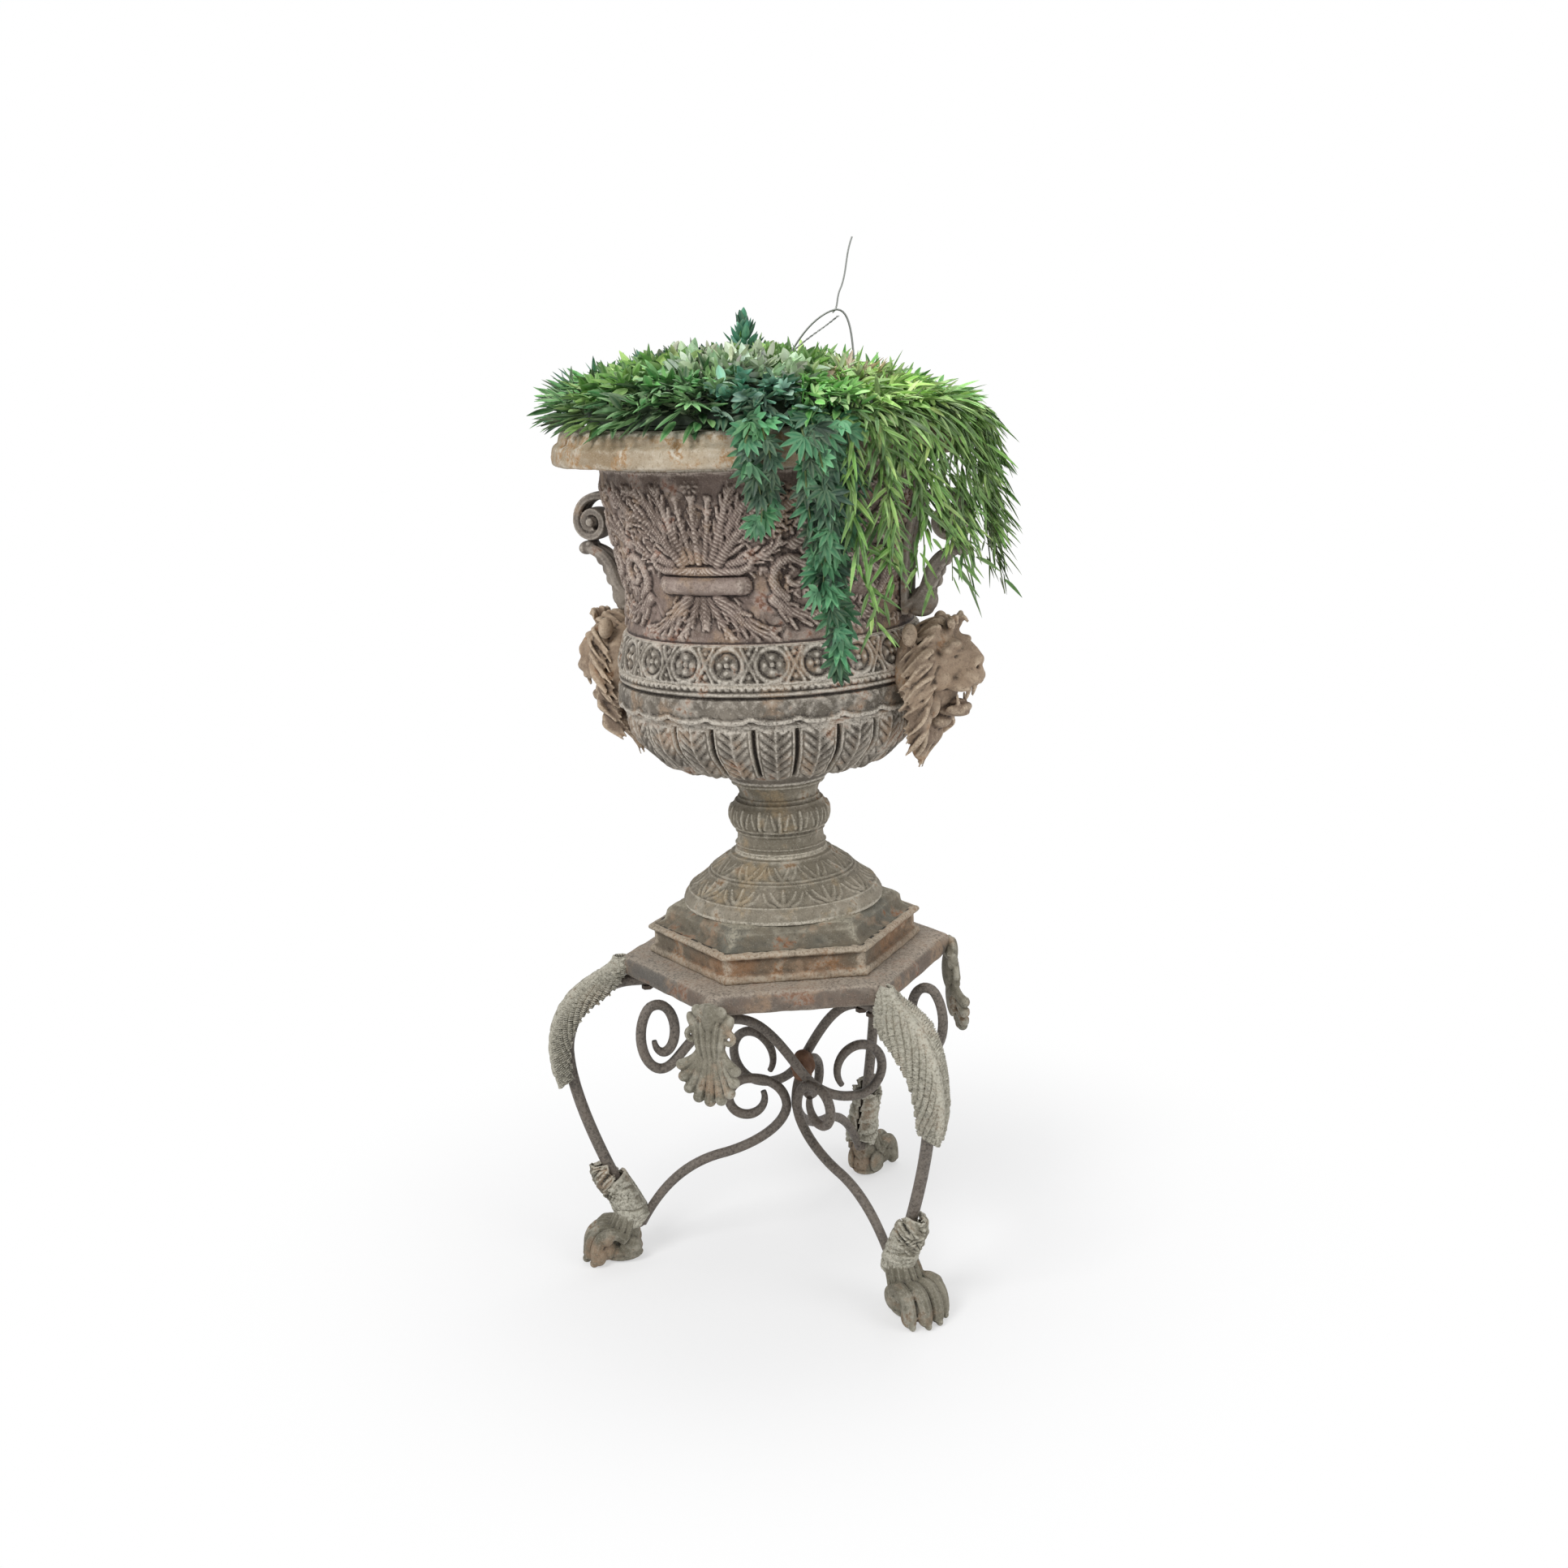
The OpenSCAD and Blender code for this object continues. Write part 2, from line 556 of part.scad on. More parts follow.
// The lip is a hollow casting, open below
module rim() {
    lip = chain([for (q = rim_line) q + [0, 8]], 4);
    spigot = urn_at(rim_z - 12) - wall - gap;
    inner = min(mouth_r, spigot - wall);
    color(iron) translate([0, 0, rim_z]) rotate_extrude($fn = 96) polygon(concat(
        [[spigot, -12], [spigot, 0], [neck_r, 0], [neck_r + 2, rim_h - 14], [rim_r - 30, rim_h - 12],
            [rim_r - 20, rim_h - 20], [rim_r - 12, 8]],
        lip, [[mouth_r, rim_h], [mouth_r, 10], [inner, 0], [inner, -12]]));
}

// Height against the middle, half width, depth of the mane, reach against the muzzle and half
// width of the face at each outline of a lion mask, from the tip of its beard to its forelock
mask_rows = [[-133, 14, 12, -80, 9], [-122, 24, 14, -84, 12], [-110, 33, 16, -90, 16],
    [-101, 40, 18, -95, 20], [-93, 45, 19, -97, 22], [-87, 50, 26, -88, 24], [-81, 54, 29, -54, 25],
    [-74, 58, 31, -30, 26], [-67, 61, 31, -21, 27],
    [-57, 64, 32, -24, 28], [-45, 68, 32, -22, 30], [-35, 71, 32, -14, 31], [-24, 74, 32, -1, 31],
    [-12, 76, 32, 0, 30], [1, 76, 32, -1, 28], [10, 76, 32, -9, 30], [20, 74, 32, -22, 34],
    [32, 70, 32, -25, 38], [44, 62, 30, -28, 38], [51, 54, 26, -33, 34], [58 - gap, 44, 18, -50, 28]];
mask_m = 15;

function mask_in(r) = max(urn_clear(mask_z + r[0]), muzzle_r - 116 - 0.6 * (97 + r[0]));
function mask_out(r, k) = let (base = mask_in(r) + 3 + (r[2] - 3) * pow(max(1 - k * k, 0), 0.4),
    face = pow(max(1 - pow(r[1] * k / (1.5 * r[4]), 2), 0), 1.5))
    base + (muzzle_r + r[3] - mask_in(r) - r[2]) * face;

module lion_mask(k) {
    color(iron) at(mask_turn + 180 * k) difference() {
        loft([for (r = mask_rows) let (z = mask_z + r[0], a = asin(r[1] / mask_in(r))) concat(
            [for (j = [0:mask_m - 1]) let (k = -1 + 2 * j / (mask_m - 1))
                [mask_out(r, k) * cos(a * k), mask_out(r, k) * sin(a * k), z]],
            [for (j = [mask_m - 1:-1:0]) let (k = -1 + 2 * j / (mask_m - 1))
                [mask_in(r) * cos(a * k), mask_in(r) * sin(a * k), z]])]);
        translate([muzzle_r - 50, -60, mask_z - 57]) cube([20, 120, 12]);
        translate([0, 0, body_z]) mask_bolt_places()
            cylinder(d = bolt_d + 2 * gap, h = wall + 22, $fn = 24);
    }
}

module mask_bolts() {
    color(bar_iron) for (m = [0, 180]) at(mask_turn + m) translate([0, 0, body_z]) mask_bolt_places() {
        translate([0, 0, -head_h]) hex_head(13, head_h);
        cylinder(d = bolt_d, h = wall + 20, $fn = 24);
    }
}

// A handle stands on its mask's forelock: its inner stem rises along the wall to a volute, and its
// outer stem leaves the foot and ends in a knob below the volute
foot_z = mask_z + 58;
volute_c = [handle_r - 26, handle_z];
volute_top = handle_z + 38 - handle_t / 2;

function beside(z, d) = [urn_clear(z) + handle_t / 2 + d, z];

volute = concat(chain([beside(foot_z, 3), beside(foot_z + 30, 3), beside(handle_z - 40, 0),
    beside(handle_z - 10, 0), beside(handle_z + 18, 0), [volute_c[0] - 30, volute_top],
    [volute_c[0] - 12, volute_top], [volute_c[0] + 6, volute_top],
    [handle_r - handle_t / 2, handle_z + 22], [handle_r - handle_t / 2, handle_z]], 5),
    [for (i = [1:16]) spiral(volute_c, 26 - handle_t / 2, 8, 0, -430, 16)[i]]);
handle_stem = chain([[volute_c[0] + 14, handle_z - 34], [volute_c[0] + 2, handle_z - 36],
    [volute_c[0] - 14, handle_z - 44], [volute_c[0] - 20, handle_z - 62], [volute_c[0] - 24, handle_z - 76],
    [volute_c[0] - 29, handle_z - 92], beside(foot_z + 8, 7)], 5);

function slab(w, t) = [[w / 2, -t / 2], [w / 2, t / 2], [-w / 2, t / 2], [-w / 2, -t / 2]];

module handle(k) {
    color(pale_iron) at(mask_turn + 180 * k) difference() {
        union() {
            loft(rings(volute, [for (i = volute) slab(handle_w, handle_t)]));
            loft(rings(handle_stem, [for (i = handle_stem) slab(handle_w - 6, handle_t + 1)]));
            translate([volute_c[0], 0, handle_z]) rotate([90, 0, 0])
                cylinder(d = 18, h = handle_w + 4, center = true, $fn = 24);
            translate([volute_c[0] + 12, 0, handle_z - 34]) rotate([90, 0, 0])
                cylinder(d = 15, h = handle_w, center = true, $fn = 24);
        }
        translate([0, 0, body_z]) handle_bolt_place()
            cylinder(d = bolt_d + 2 * gap, h = wall + 9, $fn = 24);
    }
}

module handle_bolts() {
    color(bar_iron) for (m = [0, 180]) at(mask_turn + m) translate([0, 0, body_z]) handle_bolt_place() {
        translate([0, 0, -head_h]) hex_head(13, head_h);
        cylinder(d = bolt_d, h = wall + 7, $fn = 24);
    }
}

nut_h = 9;
rod_low = dome_z - wall - washer_t - nut_h - 8;
rod_high = bowl_z + wall + washer_t + nut_h + 8;

module tie_rod() {
    color(bar_iron) translate([0, 0, rod_low]) cylinder(d = rod_d, h = rod_high - rod_low, $fn = 32);
}

module tie_nuts() {
    color(bar_iron) for (z = [dome_z - wall - washer_t - nut_h, bowl_z + wall + washer_t])
        translate([0, 0, z]) difference() {
            hex_head(1.7 * rod_d, nut_h);
            translate([0, 0, -1]) cylinder(d = rod_d + 0.1, h = nut_h + 2, $fn = 32);
        }
}

module tie_washers() {
    color(bar_iron) for (z = [dome_z - wall - washer_t, bowl_z + wall])
        translate([0, 0, z]) difference() {
            cylinder(r = washer_r, h = washer_t, $fn = 48);
            translate([0, 0, -1]) cylinder(d = rod_d + 2 * gap, h = washer_t + 2, $fn = 32);
        }
}

module flange_bolts() {
    color(bar_iron) flange_places(body_z - wall - 10) {
        cylinder(d = bolt_d, h = 2 * wall + 10, $fn = 24);
        translate([0, 0, 2 * wall + 10]) hex_head(13, head_h);
    }
}

module flange_nuts() {
    color(bar_iron) flange_places(body_z - wall - 6.5) difference() {
        hex_head(13, 6.5);
        translate([0, 0, -1]) cylinder(d = bolt_d + 0.1, h = 8.5, $fn = 24);
    }
}

// Planting

liner_out = chain([[10, top_z - basket_deep], [90, top_z - basket_deep],
    [mouth_r - 24, top_z - 0.75 * basket_deep], [mouth_r - 10, top_z]], 8);

module basket_liner() {
    skin = [for (q = inset(liner_out, liner_t)) if (q[1] < top_z) q];
    color("#5a4632") rotate_extrude($fn = 64) polygon(concat([[0, top_z - basket_deep]], liner_out,
        [[mouth_r - 10 - liner_t, top_z]], back(skin), [[0, top_z - basket_deep + liner_t]]));
}

module growing_foam() {
    skin = [for (q = inset(liner_out, liner_t + gap)) if (q[1] < top_z) q];
    color("#3a2d22") rotate_extrude($fn = 64) polygon(concat(
        [[0, top_z - basket_deep + liner_t + gap]], skin,
        [[mouth_r - 11 - liner_t, top_z], [mouth_r - 11 - liner_t, top_z + ring_d], [0, top_z + ring_d]]));
}

module basket_frame() {
    w = ring_r - ring_d / 2 - mouth_r + 10 + gap;
    color("#2f2f2f") {
        translate([0, 0, top_z + ring_d / 2 + gap / 2]) rotate_extrude($fn = 96)
            translate([ring_r, 0]) circle(d = ring_d, $fn = 16);
        for (k = [0:5]) rotate([0, 0, 60 * k]) translate([mouth_r - 10 - gap - liner_t, -3, top_z + gap / 2])
            cube([w + liner_t + ring_d / 2, 6, ring_d / 2]);
    }
}

// The mound's radius at an azimuth, with a few broad lobes; its top leans to the left
function mound_at(a) = 1 / sqrt(pow(sin(a) / mound_x, 2) + pow(cos(a) / mound_y, 2))
    * (0.98 + 0.02 * cos(4 * a) * cos(4 * a));
mound_rows = [[0, 0.99], [0.18, 1], [0.42, 0.93], [0.66, 0.79], [0.86, 0.58], [1, 0.34]];

// Tufts rise and fall in turn round each row and from row to row, but not at the foot or on top
function tuft(i, k) = (i == 0 || i == len(mound_rows) - 1 ? 0 : tuft_h) * cos(180 * (i + k));

module leaf_mound() {
    color(leaf_mid) difference() {
        loft([for (i = [0:len(mound_rows) - 1]) [for (k = [0:35])
            let (a = 10 * k, h = mound_rows[i][0], r = mound_at(a) * mound_rows[i][1] + tuft(i, k) / 2)
            [r * sin(a) - 26 * h * h, -r * cos(a), mound_z + mound_h * h + tuft(i, k)]]]);
        for (w = wires) wire([w[0] - 0.1 * (w[1] - w[0]), w[1], eye], wire_d + 5 * gap);
    }
}

module top_sprig() {
    color(leaf_dark) translate([-16, -14, mound_z + mound_h + gap / 2])
        loft([for (r = [[0, 30], [0.3, 34], [0.65, 20], [1, 5]]) [for (k = [0:11])
            [r[1] * cos(30 * k), r[1] * sin(30 * k), sprig_h * r[0]]]]);
}

// Height below the mound, azimuths of the two edges and outer radius of a trailing mass
module trail(rows, h, inner) {
    m = 9;
    loft([for (r = rows) let (z = mound_z - gap / 2 - h * r[0]) concat(
        [for (k = [0:m - 1]) let (a = r[1] + (r[2] - r[1]) * k / (m - 1)) [r[3] * sin(a), -r[3] * cos(a), z]],
        [for (k = [m - 1:-1:0]) let (a = r[1] + (r[2] - r[1]) * k / (m - 1)) [inner * sin(a), -inner * cos(a), z]])]);
}

module dark_trail() {
    color(leaf_dark) trail([[1, 15, 21, rim_r + 12], [0.85, 9, 26, rim_r + 20], [0.6, 2, 25, rim_r + 26],
        [0.4, -8, 24, rim_r + 28], [0.2, -13, 24, rim_r + 28], [0, -12, 24, rim_r + 22]],
        trail_dark_h, rim_r + 2);
}

module light_trail() {
    color(leaf_light) trail([[1, 62, 99, trail_r - 12], [0.75, 52, 104, trail_r - 4], [0.5, 42, 107, trail_r],
        [0.3, 36, 109, trail_r - 2], [0.12, 32, 110, trail_r - 6], [0, 30, 110, mound_y]],
        trail_light_h, handle_r + 4);
}

// The hanger's wires rise from the basket's rim, bend among the leaves and meet in an eye; the
// hook stands on the eye
eye = [104, 20, top_z + eye_h];
wires = [for (w = [[70, 14, -34], [190, -12, 34], [310, -58, -12]])
    [[ring_r * sin(w[0]), -ring_r * cos(w[0]), top_z + ring_d + (gap + wire_d) / 2],
        eye + [w[1], w[2], -eye_h / 2]]];

function wire_ring(p, t, d) = let (u = cross(t, [0, 0.1, 1]), a = u / norm(u), b = cross(a, t))
    [for (k = [0:5]) p + d / 2 * (cos(60 * k) * a - sin(60 * k) * b)];

module wire(p, d) {
    loft([for (i = [0:len(p) - 1])
        let (t = p[min(i + 1, len(p) - 1)] - p[max(i - 1, 0)]) wire_ring(p[i], t / norm(t), d)]);
}

module hanger_wire() {
    color("#b9b6ae") {
        for (w = wires) wire([w[0], w[1], eye], wire_d);
        wire([eye, eye + [2, 0, 0.4 * hook_h], eye + [7, 0, 0.8 * hook_h], eye + [14, 0, hook_h]], wire_d);
    }
}

stand_top_plate();
leg_bar_at(0);  // leg_bar_left
leg_bar_at(1);  // leg_bar_front
leg_bar_at(2);  // leg_bar_rear
knee_leaf(0);  // knee_leaf_left
knee_leaf(1);  // knee_leaf_front
knee_leaf(2);  // knee_leaf_rear
ankle_cuff(0);  // ankle_cuff_left
ankle_cuff(1);  // ankle_cuff_front
ankle_cuff(2);  // ankle_cuff_rear
paw_foot(0);  // paw_foot_left
paw_foot(1);  // paw_foot_front
paw_foot(2);  // paw_foot_rear
lower_scroll(0);  // lower_scroll_left
lower_scroll(1);  // lower_scroll_front
lower_scroll(2);  // lower_scroll_rear
s_scroll(0);  // s_scroll_left
s_scroll(1);  // s_scroll_right
centre_boss();
shell(0);  // shell_left
shell(1);  // shell_right
shell(2);  // shell_rear
leg_bolts();
plinth();
dome_foot();
stem();
bowl();
urn_body();
rim();
lion_mask(0);  // lion_mask_right
lion_mask(1);  // lion_mask_left
handle(0);  // handle_right
handle(1);  // handle_left
tie_rod();
tie_nuts();
tie_washers();
flange_bolts();
flange_nuts();
mask_bolts();
handle_bolts();
basket_frame();
basket_liner();
growing_foam();
hanger_wire();
leaf_mound();
top_sprig();
dark_trail();
light_trail();
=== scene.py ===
import math
import bpy
import numpy as np
from mathutils import Matrix, Vector


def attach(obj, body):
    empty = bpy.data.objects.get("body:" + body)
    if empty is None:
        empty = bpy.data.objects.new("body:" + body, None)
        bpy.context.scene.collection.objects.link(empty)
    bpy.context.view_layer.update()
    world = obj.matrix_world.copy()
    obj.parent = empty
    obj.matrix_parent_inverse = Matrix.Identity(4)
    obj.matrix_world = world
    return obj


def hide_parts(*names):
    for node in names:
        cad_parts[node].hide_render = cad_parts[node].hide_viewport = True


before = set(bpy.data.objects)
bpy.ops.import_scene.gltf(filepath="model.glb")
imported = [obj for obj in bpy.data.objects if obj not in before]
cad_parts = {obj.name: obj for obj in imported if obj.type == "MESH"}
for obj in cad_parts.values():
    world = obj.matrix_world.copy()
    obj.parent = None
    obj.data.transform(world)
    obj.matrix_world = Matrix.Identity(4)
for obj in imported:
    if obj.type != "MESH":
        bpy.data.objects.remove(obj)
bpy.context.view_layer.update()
chance = np.random.default_rng(7)

MM = 0.001

# Sizes of the iron frame, in millimetres, as in the part's source
STAND_TURN = -86
LEGS = {"left": STAND_TURN, "front": STAND_TURN + 120, "rear": STAND_TURN + 240}
SHELLS = {"left": STAND_TURN + 60, "right": STAND_TURN + 180, "rear": STAND_TURN + 300}
PLATE_LOW = 400
PLATE_TOP = 428
PLINTH_STEP = 467
LEG_BAR = 16
SCROLL_BAR = 13
SCROLL_HEADING = 114
SCROLL_SIDE = 30
CROSSING = 257
DOME = 492
STEM = 559
BOWL = 653
BODY = 751
RIM = 1051
MASK_TURN = 65
MASKS = {"right": MASK_TURN, "left": MASK_TURN + 180}
MASK_Z = 807
PANEL_TURN = MASK_TURN - 90
TONGUES = 22


# Modelling helpers

def fresh():
    """Object mode, with nothing selected."""
    if bpy.context.object and bpy.context.object.mode != "OBJECT":
        bpy.ops.object.mode_set(mode="OBJECT")
    bpy.ops.object.select_all(action="DESELECT")


def pick(obj):
    fresh()
    obj.select_set(True)
    bpy.context.view_layer.objects.active = obj
    return obj


def editing(obj, select="SELECT"):
    pick(obj)
    bpy.ops.object.mode_set(mode="EDIT")
    bpy.ops.mesh.select_all(action=select)


def settle(obj):
    """Applies the place, turn and size, so that the object sits at the origin."""
    pick(obj)
    bpy.ops.object.transform_apply(location=True, rotation=True, scale=True)
    return obj


def modify(obj, kind, **settings):
    """Adds one modifier and applies it."""
    pick(obj)
    modifier = obj.modifiers.new(kind.lower(), kind)
    for key, value in settings.items():
        setattr(modifier, key, value)
    bpy.ops.object.modifier_apply(modifier=modifier.name)
    return obj


def join(name, parts):
    fresh()
    for part in parts:
        part.select_set(True)
    bpy.context.view_layer.objects.active = parts[0]
    if len(parts) > 1:
        bpy.ops.object.join()
    parts[0].name = name
    parts[0].data.name = name
    return parts[0]


def turned(obj, azimuth):
    """Turns a piece, modelled with its outward side along +X, to an azimuth of the urn."""
    obj.data.transform(Matrix.Rotation(math.radians(azimuth - 90), 4, "Z"))
    return obj


def copy_of(obj, name, azimuth=90):
    twin = obj.copy()
    twin.data = obj.data.copy()
    twin.name = name
    twin.data.name = name
    bpy.context.collection.objects.link(twin)
    return turned(twin, azimuth)


def mesh_of(name, points, faces):
    data = bpy.data.meshes.new(name)
    data.from_pydata([tuple(p) for p in points], [], faces)
    obj = bpy.data.objects.new(name, data)
    bpy.context.collection.objects.link(obj)
    return obj


def grid_of(name, points):
    """A sheet through rows of points, in millimetres."""
    rows, cols = points.shape[:2]
    faces = [(i * cols + j, i * cols + j + 1, (i + 1) * cols + j + 1, (i + 1) * cols + j)
             for i in range(rows - 1) for j in range(cols - 1)]
    return mesh_of(name, points.reshape(-1, 3) * MM, faces)


def face_out(obj):
    editing(obj)
    bpy.ops.mesh.remove_doubles(threshold=0.00002)
    bpy.ops.mesh.normals_make_consistent(inside=False)
    bpy.ops.object.mode_set(mode="OBJECT")
    return obj


def bez(points, n):
    """Points along joined Bezier curves, as the part's source has them."""
    p = np.array(points, float)
    out = []
    for k in range(0, len(p) - 3, 3):
        for i in range(n):
            t = i / n
            out.append((1 - t) ** 3 * p[k] + 3 * (1 - t) ** 2 * t * p[k + 1]
                       + 3 * (1 - t) * t * t * p[k + 2] + t ** 3 * p[k + 3])
    out.append(p[-1])
    return np.array(out)


def spiral(cx, cz, r0, r1, a0, a1, n):
    t = np.linspace(0, 1, n + 1)
    a = np.radians(a0 + (a1 - a0) * t)
    r = r0 + (r1 - r0) * t
    return np.stack([cx + r * np.cos(a), cz + r * np.sin(a)], 1)


def spun(name, outline, steps):
    """Turns a closed outline of radius and height round the urn's axis."""
    fresh()
    bpy.ops.mesh.primitive_plane_add(size=0.001, location=(0, 0, 0))
    obj = bpy.context.active_object
    bpy.ops.object.mode_set(mode="EDIT")
    bpy.ops.mesh.merge(type="CENTER")
    here = np.zeros(2)
    for k, point in enumerate(list(outline) + [outline[0]]):
        step = (np.array(point) - here) * MM
        here = np.array(point)
        if k == 0:
            bpy.ops.transform.translate(value=(step[0], 0, step[1]))
        else:
            bpy.ops.mesh.extrude_region_move(TRANSFORM_OT_translate={"value": (step[0], 0, step[1])})
    bpy.ops.mesh.select_all(action="SELECT")
    bpy.ops.mesh.spin(steps=steps, angle=math.tau, center=(0, 0, 0), axis=(0, 0, 1))
    bpy.ops.mesh.select_all(action="SELECT")
    bpy.ops.mesh.remove_doubles(threshold=0.00001)
    bpy.ops.mesh.normals_make_consistent(inside=False)
    bpy.ops.object.mode_set(mode="OBJECT")
    obj.name = name
    obj.data.name = name
    return obj


def rod(name, path, radii, sides=12):
    """A round bar through points in millimetres, with a radius at each of them."""
    radii = np.broadcast_to(np.array(radii, float), len(path))
    curve = bpy.data.curves.new(name, "CURVE")
    curve.dimensions = "3D"
    curve.bevel_depth = MM
    curve.bevel_resolution = max(sides // 4 - 1, 0)
    curve.use_fill_caps = True
    line = curve.splines.new("POLY")
    line.points.add(len(path) - 1)
    for point, place, radius in zip(line.points, path, radii):
        point.co = (*(np.array(place) * MM), 1)
        point.radius = radius
    obj = bpy.data.objects.new(name, curve)
    bpy.context.collection.objects.link(obj)
    pick(obj)
    bpy.ops.object.convert(target="MESH")
    return bpy.context.active_object


def lump(place, size, turn=(0, 0, 0)):
    """A ball stretched to half sizes in millimetres, to be melted into its neighbours."""
    fresh()
    bpy.ops.mesh.primitive_uv_sphere_add(
        segments=20, ring_count=12, radius=1, location=[c * MM for c in place],
        scale=[c * MM for c in size], rotation=[math.radians(c) for c in turn])
    return settle(bpy.context.active_object)


def lumps(*rows):
    return [lump(*row) for row in rows]


def melted(name, parts, voxel, smooth):
    """Joins lumps and rods into one cast skin."""
    obj = join(name, parts)
    modify(obj, "REMESH", mode="VOXEL", voxel_size=voxel * MM)
    if smooth:
        modify(obj, "SMOOTH", factor=0.5, iterations=smooth)
    return obj


def at_corners(obj, what):
    flat = np.empty(len(obj.data.vertices) * 3)
    obj.data.vertices.foreach_get(what, flat)
    return flat.reshape(-1, 3)


def corners(obj):
    return at_corners(obj, "co")


def outward(obj):
    return at_corners(obj, "normal")


def move_corners(obj, points):
    obj.data.vertices.foreach_set("co", points.reshape(-1))
    obj.data.update()


def store(obj, name, values):
    """Keeps a number, or a colour, at each corner for the finish to read."""
    kind, key = ("FLOAT", "value") if values.ndim == 1 else ("FLOAT_COLOR", "color")
    layer = obj.data.attributes.get(name) or obj.data.attributes.new(name, kind, "POINT")
    layer.data.foreach_set(key, values.reshape(-1))


def averager(obj):
    """A function that takes a place for each corner, and gives the mean of the places next to it."""
    count = len(obj.data.vertices)
    pairs = np.empty(len(obj.data.edges) * 2, dtype=np.int64)
    obj.data.edges.foreach_get("vertices", pairs)
    a, b = pairs.reshape(-1, 2).T
    share = np.maximum(np.bincount(a, minlength=count) + np.bincount(b, minlength=count), 1)

    def mean(places):
        near = [np.bincount(a, places[b, k], count) + np.bincount(b, places[a, k], count)
                for k in range(3)]
        return np.stack(near, 1) / share[:, None]
    return mean


def soften(obj, weight, rounds):
    """Melts the dips between lumps into one skin, where the weight is more than nothing."""
    mean = averager(obj)
    points = corners(obj)
    for _ in range(rounds):
        points = points + (mean(points) - points) * weight[:, None]
    move_corners(obj, points)


def mark_relief(obj, spans=(3, 14), depth=0.0011):
    """Stores how far each corner stands proud of, or lies below, the surface around it; the iron finish
    paints highlight on what stands proud and crevice shade in what lies below.
    """
    mean = averager(obj)
    points = corners(obj)
    normals = outward(obj)
    soft = points
    total = np.zeros(len(points))
    for step in range(1, max(spans) + 1):
        soft = mean(soft)
        if step in spans:
            total += ((points - soft) * normals).sum(1) / (depth * math.sqrt(step))
    store(obj, "relief", np.clip(total, -2, 2))
    return obj


def dress(obj, finish, body, slot, *nodes, angle=40):
    """Gives a finished piece its shading, finish and body, and hides the CAD nodes that it stands for."""
    pick(obj)
    bpy.ops.object.shade_smooth_by_angle(angle=math.radians(angle))
    obj.data.materials.clear()
    obj.data.materials.append(finish)
    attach(obj, body)
    if nodes:
        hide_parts(*nodes)
    return obj


def dress_copies(obj, name, places, finish, body, slot, node_name):
    """Lays a copy of a piece at each named azimuth, in place of the CAD node of that place."""
    for place, azimuth in places.items():
        dress(copy_of(obj, name + place, azimuth), finish, body, slot, node_name + place)
    bpy.data.objects.remove(obj)


# Carving: heights in millimetres over a flat drawing of sideways and upward places

def stroke(u, z, path, w0, w1, high, roundness=0.5):
    """A ridge, or a groove where high is negative, along a path that tapers in width."""
    path = np.array(path, float)
    out = np.zeros_like(u)
    last = max(len(path) - 1, 1)
    reach = max(w0, w1)
    for k in range(last):
        a = path[k]
        d = path[k + 1] - a
        near = ((u > min(a[0], a[0] + d[0]) - reach) & (u < max(a[0], a[0] + d[0]) + reach)
                & (z > min(a[1], a[1] + d[1]) - reach) & (z < max(a[1], a[1] + d[1]) + reach))
        if not near.any():
            continue
        x, y = u[near] - a[0], z[near] - a[1]
        t = np.clip((x * d[0] + y * d[1]) / max(d @ d, 1e-9), 0, 1)
        wide = w0 + (w1 - w0) * (k + t) / last
        off = np.hypot(x - t * d[0], y - t * d[1]) / wide
        rise = np.abs(high) * np.power(np.clip(1 - off * off, 0, 1), roundness)
        out[near] = np.maximum(out[near], rise)
    return out * np.sign(high)


def over(*fields):
    """The highest of several ridges, less the deepest of several grooves."""
    high = np.zeros_like(fields[0])
    low = np.zeros_like(fields[0])
    for field in fields:
        high = np.maximum(high, field)
        low = np.minimum(low, field)
    return high + low


def plume(u, z, path, wide, high, lobes, length, lean=38, sides=(1, -1)):
    """A curved leaf: a tapering rib with lobes that fan off it and shorten towards its tip."""
    path = np.array(path, float)
    fields = [stroke(u, z, path, wide, wide * 0.45, high)]
    last = len(path) - 1
    for i in range(lobes):
        t = (i + 0.6) / lobes * last
        k = min(int(t), last - 1)
        root = path[k] + (path[k + 1] - path[k]) * (t - k)
        along = path[k + 1] - path[k]
        along = along / np.hypot(*along)
        for side in sides:
            size = length * (0.55 + 0.45 * math.sin(math.pi * min((i + 1) / lobes + 0.15, 1)))
            a = math.radians(lean) * side
            turn = np.array([along[0] * math.cos(a) - along[1] * math.sin(a),
                             along[0] * math.sin(a) + along[1] * math.cos(a)])
            bend = turn + 0.35 * along
            fields.append(stroke(u, z, [root, root + turn * size * 0.55, root + bend * size * 0.95],
                                 wide * 0.62, wide * 0.3, high * 0.8))
    return over(*fields)


def curl(u, z, cx, cz, r0, r1, a0, a1, wide, high):
    return stroke(u, z, spiral(cx, cz, r0, r1, a0, a1, 14), wide, wide * 0.6, high)


def peak(value, at, reach):
    """1 at a place, and straight down to nothing at a reach from it."""
    return np.clip(1 - np.abs(value - at) / reach, 0, 1)


def roll(value, at, half):
    """A round moulding across a place, 1 high."""
    return np.sqrt(np.clip(1 - ((value - at) / half) ** 2, 0, 1))


def rising(value, start, reach):
    return np.clip((value - start) / reach, 0, 1)


def repeated(azimuth, pitch):
    """Degrees from the middle of the nearest of a row of equal fields."""
    return (azimuth + pitch / 2) % pitch - pitch / 2


def dot(u, z, cx, cz, radius, high):
    off = np.hypot(u - cx, z - cz) / radius
    return high * np.sqrt(np.clip(1 - off * off, 0, 1))


